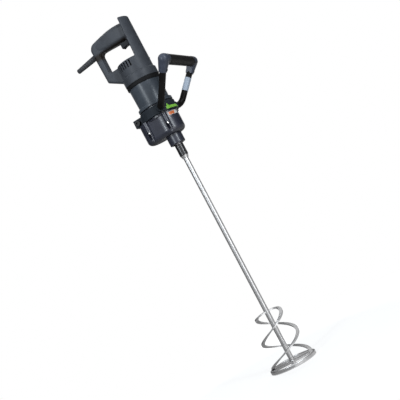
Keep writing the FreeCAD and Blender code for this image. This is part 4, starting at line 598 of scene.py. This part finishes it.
def coat(piece, material):
    piece.data.materials.clear()
    piece.data.materials.append(material)


def put_on(piece, body, slot, *nodes, material=None):
    """The piece rides on a body, takes its slot's finish or another, and stands for CAD nodes."""
    coat(piece, material or FINISHES[slot])
    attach(piece, body)
    if nodes:
        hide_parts(*nodes)


for entry in frame["record"]["subparts"]:
    coat(NODES[entry["node"]], FINISHES[entry["material_slot"]])


# Bow handle


def elbow_corner(side):
    return Vector((BOW_X, side * BOW_HALF_Y, BOW_Z))


def leg_direction(side):
    turn = math.radians(BEND_ANGLE)
    bend = Vector((MOTOR_X + BEND_R * math.cos(turn), side * BEND_R * math.sin(turn), BEND_Z))
    return (elbow_corner(side) - bend).normalized()


def round_bar(start, end, foot_r, top_r, sides=48):
    """Straight or tapered bar between two points."""
    way = end - start
    return start_piece("bar", bpy.ops.mesh.primitive_cone_add, vertices=sides, radius1=foot_r, radius2=top_r,
                       depth=way.length, location=(start + end) / 2,
                       rotation=way.to_track_quat("Z", "Y").to_euler())


def cut_flat(piece, place, normal):
    """Cuts the piece at a plane, drops what lies on the normal's side and closes the cut."""
    use_only(piece)
    bpy.ops.object.mode_set(mode="EDIT")
    bpy.ops.mesh.select_all(action="SELECT")
    bpy.ops.mesh.bisect(plane_co=place, plane_no=normal, use_fill=True, clear_outer=True)
    bpy.ops.object.mode_set(mode="OBJECT")


def make_elbow(name, side):
    """Moulded corner: a knee, a skirt down the leg, a mouth at the grip and a web between them."""
    corner = elbow_corner(side)
    along = leg_direction(side)
    out = Vector((0, side, 0))
    mouth = corner - out * ELBOW_MOUTH
    foot = corner - along * ELBOW_LEG
    knee = start_piece("knee", bpy.ops.mesh.primitive_uv_sphere_add, segments=48, ring_count=24,
                       radius=ELBOW_R, location=corner)
    skirt = round_bar(foot - along * ELBOW_SPARE, corner, ELBOW_FOOT_R, ELBOW_R)
    neck = round_bar(mouth - out * ELBOW_SPARE, corner, ELBOW_R, ELBOW_R)
    web = round_bar(corner - along * ELBOW_WEB_FOOT, corner - out * ELBOW_WEB_TOP, ELBOW_FOOT_R, ELBOW_WEB_R)
    piece = join(name, [knee, skirt, neck, web])
    modify(piece, "REMESH", mode="VOXEL", voxel_size=ELBOW_VOXEL)
    modify(piece, "SMOOTH", factor=0.5, iterations=ELBOW_SMOOTHING)
    cut_flat(piece, foot, -along)
    cut_flat(piece, mouth, -out)
    smooth_by_angle(piece)
    return piece


for label, side in (("left", -1), ("right", 1)):
    put_on(make_elbow("bow_corner_" + label, side), "machine", "elbow_plastic", "bow_elbow_" + label)


def make_grip_sleeve():
    """Rubber sleeve with rounded ends and a shallow groove near each."""
    half = BOW_HALF_Y - ELBOW_MOUTH
    edge = GRIP_EDGE
    place_share, depth_share = GRIP_EDGE_SHARES
    end = [(0, GRIP_R - edge), (edge * place_share, GRIP_R - edge * depth_share), (edge, GRIP_R)]
    start = GRIP_GROOVE_PLACE
    wall = GRIP_GROOVE_WALL_SHARE
    end += [(start, GRIP_R), (start + edge * wall, GRIP_R - GRIP_GROOVE),
            (start + edge * (1 - wall), GRIP_R - GRIP_GROOVE), (start + edge, GRIP_R)]
    profile = [(height - half, radius) for height, radius in end]
    profile += [(half - height, radius) for height, radius in reversed(end)]
    piece = turned("bow_sleeve", profile, sides=64)
    aim(piece, Vector((BOW_X, 0, BOW_Z)), Vector((0, 1, 0)))
    smooth_by_angle(piece, degrees=50.0)
    return piece


put_on(make_grip_sleeve(), "machine", "grip_rubber", "bow_grip")


# Cable sleeve at the rear corner


def make_cable_sleeve():
    """Tapered rubber sleeve with shallow rings, a rounded tip and an open bore."""
    def radius_at(share):
        return SLEEVE_ROOT_R + (SLEEVE_TIP_R - SLEEVE_ROOT_R) * share

    lip, floor = SLEEVE_LIP_SHARE, SLEEVE_FLOOR_SHARE
    profile = [(-SLEEVE_IN, SLEEVE_ROOT_R)]
    pitch = (SLEEVE_LEN - 2 * SLEEVE_TIP_ROUND) / SLEEVE_RINGS
    for i in range(SLEEVE_RINGS):
        height = pitch * (i + 1)
        radius = radius_at(height / SLEEVE_LEN)
        for shift, depth in ((-lip, 0), (-floor, 1), (floor, 1), (lip, 0)):
            profile.append((height + shift * pitch, radius - depth * SLEEVE_GROOVE))
    straight = SLEEVE_LEN - SLEEVE_TIP_ROUND
    tip = radius_at(1) - SLEEVE_TIP_ROUND
    for turn in SLEEVE_TIP_TURNS:
        angle = math.radians(turn)
        rise = SLEEVE_TIP_ROUND * math.sin(angle)
        profile.append((straight + rise, tip + SLEEVE_TIP_ROUND * math.cos(angle)))
    profile.append((SLEEVE_LEN, SLEEVE_BORE_R))
    profile.append((0, SLEEVE_BORE_R))
    piece = turned("cable_sleeve", profile)
    tilt = math.radians(SLEEVE_TILT)
    aim(piece, SLEEVE_ROOT, Vector((-math.cos(tilt), 0, -math.sin(tilt))))
    smooth_by_angle(piece, degrees=40.0)
    return piece


put_on(make_cable_sleeve(), "machine", "rubber", "cable_boot", material=SLEEVE_RUBBER)


# Dark screens behind the vents, as painted shade in the slots


def make_vent_shade_screens():
    """Two thin folded dark screens inside the rear barrel, one behind each row of slots, as painted shade
    there.
    """
    piece = start_piece("vent_shade_screens", bpy.ops.mesh.primitive_cylinder_add, vertices=SCREEN_SIDES,
                        radius=SCREEN_R, depth=SCREEN_H, end_fill_type="NOTHING",
                        location=(MOTOR_X, 0, SCREEN_Z))
    delete_points(piece, lambda place: not SCREEN_FROM < abs(turn_about_motor(place)) < SCREEN_TO)
    edit_points(piece, lambda place: round(turn_about_motor(place) * SCREEN_SIDES / 360) % 2 == 0)
    bpy.ops.transform.shrink_fatten(value=-SCREEN_FOLD)
    close_edit()
    modify(piece, "SOLIDIFY", thickness=SCREEN_T, offset=0.0)
    outward_faces(piece)
    smooth_by_angle(piece, degrees=20.0)
    return piece


# The screens are a dark sheet put where the slots show only shade.
put_on(make_vent_shade_screens(), "machine", "inner_plastic")


# Hexagon adaptor between spindle and paddle


def make_hex_adaptor():
    """Hexagon bar with bevelled corners and crowned ends, and the stud that enters the spindle."""
    length = HEX_TOP_Z - HEX_FOOT_Z
    bar = start_piece("hex_bar", bpy.ops.mesh.primitive_cylinder_add, vertices=HEX_SIDES,
                      radius=HEX_FLATS / math.sqrt(3), depth=length,
                      location=(0, 0, HEX_FOOT_Z + length / 2),
                      rotation=(0, 0, math.radians(PADDLE_TURN - 180 / HEX_SIDES)))
    bevel_edges(bar, lambda a, b: abs(a.z - b.z) > length / 2, width=HEX_EDGE, steps=6)
    bevel_edges(bar, lambda a, b: abs(a.z - b.z) < length / 2, width=HEX_CROWN, steps=2)
    stud = turned("adaptor_stud", [(HEX_TOP_Z - HEX_CROWN, STUD_R), (STUD_TOP_Z - HEX_CROWN, STUD_R),
                                   (STUD_TOP_Z, STUD_R - HEX_CROWN)])
    piece = join("hex_adaptor", [bar, stud])
    smooth_by_angle(piece, degrees=20.0)
    return piece


put_on(make_hex_adaptor(), "spindle", "adaptor_black", "paddle_adaptor")


# Weld beads on the paddle


def on_circle(radius, turn, height):
    angle = math.radians(turn)
    return Vector((radius * math.cos(angle), radius * math.sin(angle), height))


def bead_places():
    """Middles of the weld drops: around the rod, at both strips' roots and feet, and beside the spokes."""
    inside = RING_IN_R - BEAD_R / 2
    drops = [on_circle(ROD_R, turn, RING_TOP_Z) for turn in range(0, 360, ROD_BEAD_TURN)]
    for half in (0, 180):
        for step in range(-STRIP_ROOT_BEADS, STRIP_ROOT_BEADS + 1):
            turn = STRIP_ROOT_TURN + half + step * STRIP_ROOT_BEAD_TURN
            for rise in (-STRIP_HALF_T, STRIP_HALF_T):
                drops.append(on_circle(ROD_R, turn, STRIP_ROOT_Z + rise))
        for step in range(STRIP_FOOT_BEADS):
            turn = STRIP_FOOT_TURN + half + step
            drops.append(on_circle(inside, turn, STRIP_FOOT_TOP_Z + step * STRIP_PITCH))
        for side in (-1, 1):
            aside = math.degrees(side * SPOKE_HALF_W / RING_IN_R)
            for step in range(SPOKE_BEADS):
                height = RING_TOP_Z - BEAD_R * (step + SPOKE_BEAD_SHARE)
                drops.append(on_circle(inside, PADDLE_TURN + half + aside, height))
    return drops


def make_paddle_welds():
    """Rippled beads where the strips and spokes meet the rod and the ring."""
    drops = []
    for place in bead_places():
        start_clean()
        bpy.ops.mesh.primitive_ico_sphere_add(subdivisions=2, radius=BEAD_R, location=place)
        drops.append(bpy.context.object)
    piece = join("paddle_welds", drops)
    apply_place(piece)
    modify(piece, "REMESH", mode="VOXEL", voxel_size=BEAD_VOXEL)
    modify(piece, "SMOOTH", factor=0.5, iterations=BEAD_SMOOTHING)
    smooth_by_angle(piece, degrees=60.0)
    return piece


put_on(make_paddle_welds(), "spindle", "galvanised")


# Coloured stripe on the clamp ring


def make_side_stripe():
    """Thin curved stripe with a pointed end beside the near leg."""
    low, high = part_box("accent_band")
    middle = (low.z + high.z) / 2
    piece = start_piece("side_stripe", bpy.ops.mesh.primitive_cylinder_add, vertices=STRIPE_SIDES,
                        radius=high.x - MOTOR_X - STRIPE_T / 2, depth=high.z - low.z,
                        end_fill_type="NOTHING", location=(MOTOR_X, 0, middle))
    delete_points(piece, lambda place: abs(turn_about_motor(place)) > STRIPE_HALF_TURN)
    step = 360 / STRIPE_SIDES
    count = int(STRIPE_PEAK_SPREAD / step)
    for i in range(-count, count + 1):
        turn = STRIPE_PEAK_TURN + i * step
        lift = STRIPE_PEAK * (1 - abs(i) / (count + 1))
        edit_points(piece, lambda place: place.z > middle and abs(turn_about_motor(place) - turn) < step / 2)
        bpy.ops.transform.translate(value=(0, 0, lift))
        close_edit()
    modify(piece, "SOLIDIFY", thickness=STRIPE_T, offset=0.0)
    outward_faces(piece)
    smooth_by_angle(piece, degrees=30.0)
    return piece


put_on(make_side_stripe(), "machine", "band_green", "accent_band")


# Floor, backdrop, camera, cards and lamps


def background_rays(tree):
    """Mask of the rays that show the white background: from the camera, a gloss or a clear piece."""
    path = tree.nodes.new("ShaderNodeLightPath")
    mirrored = sums(tree, "MAXIMUM", path.outputs["Is Glossy Ray"], path.outputs["Is Transmission Ray"])
    return sums(tree, "MAXIMUM", path.outputs["Is Camera Ray"], mirrored)


def make_floor():
    """Pale floor that is white by itself, and lit near the object, where it keeps the shadow."""
    floor = start_piece("studio_floor", bpy.ops.mesh.primitive_plane_add, size=FLOOR_SIZE, location=(0, 0, 0))
    material, tree, shader, place = blank("studio_floor")
    set_plain(shader, {"Base_Color": colour(FLOOR_GREY, FLOOR_GREY, FLOOR_GREY), "Roughness": 0.9,
                       "Specular_IOR_Level": 0.0})
    away = node(tree, "ShaderNodeVectorMath", [(0, place)], operation="LENGTH").outputs["Value"]
    near = ramp(tree, away, *FLOOR_NEAR)
    strength = sums(tree, "ADD", sums(tree, "MULTIPLY", near, FLOOR_NEAR_GLOW), 1.0)
    glow = node(tree, "ShaderNodeEmission", [("Color", colour(1, 1, 1)), ("Strength", strength)])
    white = sums(tree, "SUBTRACT", 1.0, sums(tree, "MULTIPLY", near, FLOOR_SHADOW_SHARE))
    share = sums(tree, "MULTIPLY", background_rays(tree), white)
    mix = node(tree, "ShaderNodeMixShader", [(0, share), (1, shader.outputs[0]), (2, glow.outputs[0])])
    tree.links.new(mix.outputs[0], tree.nodes["Material Output"].inputs["Surface"])
    coat(floor, material)


def make_world():
    world = bpy.data.worlds.new("studio")
    bpy.context.scene.world = world
    world.use_nodes = True
    tree = world.node_tree
    soft = tree.nodes["Background"]
    set_plain(soft, {"Color": colour(0.92, 0.96, 1.0), "Strength": WORLD_STRENGTH})
    white = node(tree, "ShaderNodeBackground", [("Color", colour(1, 1, 1)), ("Strength", 1.0)])
    seen = background_rays(tree)
    mix = node(tree, "ShaderNodeMixShader", [(0, seen), (1, soft.outputs[0]), (2, white.outputs[0])])
    tree.links.new(mix.outputs[0], tree.nodes["World Output"].inputs["Surface"])


def camera_axes():
    turn = math.radians(CAMERA_AZIMUTH)
    rise = math.radians(CAMERA_RISE)
    level = Vector((math.cos(turn), math.sin(turn), 0))
    back = Vector((math.sin(turn) * math.cos(rise), -math.cos(turn) * math.cos(rise), math.sin(rise)))
    upright = back.cross(level)
    right = level * math.cos(CAMERA_ROLL) + upright * math.sin(CAMERA_ROLL)
    up = upright * math.cos(CAMERA_ROLL) - level * math.sin(CAMERA_ROLL)
    return right, up, back


def make_camera():
    data = bpy.data.cameras.new("photo_camera")
    camera = bpy.data.objects.new("photo_camera", data)
    bpy.context.scene.collection.objects.link(camera)
    data.sensor_width = CAMERA_SENSOR
    data.lens = CAMERA_LENS
    turned_to = Matrix(camera_axes()).transposed().to_4x4()
    camera.matrix_world = Matrix.Translation(CAMERA_PLACE) @ turned_to
    bpy.context.scene.camera = camera


def make_card(name, first, last, low, high, grey):
    """Grey card between two turns to the right of the camera's side: curved, or flat where low is high."""
    if high > low:
        card = start_piece(name, bpy.ops.mesh.primitive_cylinder_add, vertices=CARD_SIDES, radius=CARD_R,
                           depth=high - low, end_fill_type="NOTHING", location=(0, 0, (low + high) / 2))
    else:
        card = start_piece(name, bpy.ops.mesh.primitive_circle_add, vertices=CARD_SIDES, radius=CARD_R,
                           fill_type="TRIFAN", location=(0, 0, low))

    def outside(place):
        turn = (math.degrees(math.atan2(place.x, -place.y)) - CAMERA_AZIMUTH + 180) % 360 - 180
        return math.hypot(place.x, place.y) > CARD_R / 2 and not first < turn < last

    delete_points(card, outside)
    material = bpy.data.materials.new(name)
    material.use_nodes = True
    tree = material.node_tree
    glow = node(tree, "ShaderNodeEmission", [("Color", colour(grey, grey, grey)), ("Strength", 1.0)])
    tree.links.new(glow.outputs[0], tree.nodes["Material Output"].inputs["Surface"])
    coat(card, material)
    card.visible_camera = False
    card.visible_diffuse = False
    card.visible_shadow = False


def make_lamp(name, turn, rise, distance, width, height, power, gloss=True):
    """Soft lamp, turned to the right of the camera's side and raised, that the gloss shows or not."""
    data = bpy.data.lights.new(name, "AREA")
    data.shape = "RECTANGLE"
    data.size = width
    data.size_y = height
    data.energy = power
    data.color = LAMP_TINT
    lamp = bpy.data.objects.new(name, data)
    bpy.context.scene.collection.objects.link(lamp)
    around = math.radians(CAMERA_AZIMUTH + turn)
    up = math.radians(rise)
    way = Vector((math.sin(around) * math.cos(up), -math.cos(around) * math.cos(up), math.sin(up)))
    lamp.location = LAMP_TARGET + way * distance
    lamp.rotation_euler = (-way).to_track_quat("-Z", "Y").to_euler()
    lamp.visible_glossy = gloss


make_floor()
make_world()
make_camera()
make_card("floor_card_left", first=-180.0, last=0.0, low=CARD_FLOOR_Z, high=CARD_FLOOR_Z, grey=0.38)
make_card("floor_card_right", first=0.0, last=180.0, low=CARD_FLOOR_Z, high=CARD_FLOOR_Z, grey=0.8)
make_card("rod_card_far_left", first=-180.0, last=-96.0, low=0.0, high=CARD_SPLIT_Z, grey=FAR_GREY)
make_card("rod_card_left", first=-94.0, last=10.0, low=0.0, high=CARD_SPLIT_Z, grey=0.34)
make_card("rod_card_bright", first=12.0, last=44.0, low=0.0, high=CARD_SPLIT_Z, grey=2.6)
make_card("rod_card_right", first=46.0, last=150.0, low=0.0, high=CARD_SPLIT_Z, grey=0.44)
make_card("rod_card_far_right", first=152.0, last=180.0, low=0.0, high=CARD_SPLIT_Z, grey=FAR_GREY)
make_card("head_card_left", first=-150.0, last=-54.0, low=CARD_SPLIT_Z, high=CARD_TOP_Z, grey=HEAD_GREY)
make_card("head_card_right", first=58.0, last=150.0, low=CARD_SPLIT_Z, high=CARD_TOP_Z, grey=HEAD_GREY)
make_lamp("left_strip", turn=-32.0, rise=18.0, distance=1.7, width=0.16, height=1.2, power=18.0)
make_lamp("right_strip", turn=36.0, rise=18.0, distance=1.7, width=0.24, height=1.2, power=20.0)
make_lamp("back_lamp", turn=180.0, rise=32.0, distance=1.8, width=1.2, height=1.2, power=24.0, gloss=False)
make_lamp("edge_lamp", turn=-100.0, rise=38.0, distance=1.6, width=0.5, height=0.8, power=4.0)

bpy.context.scene.view_settings.view_transform = "Standard"
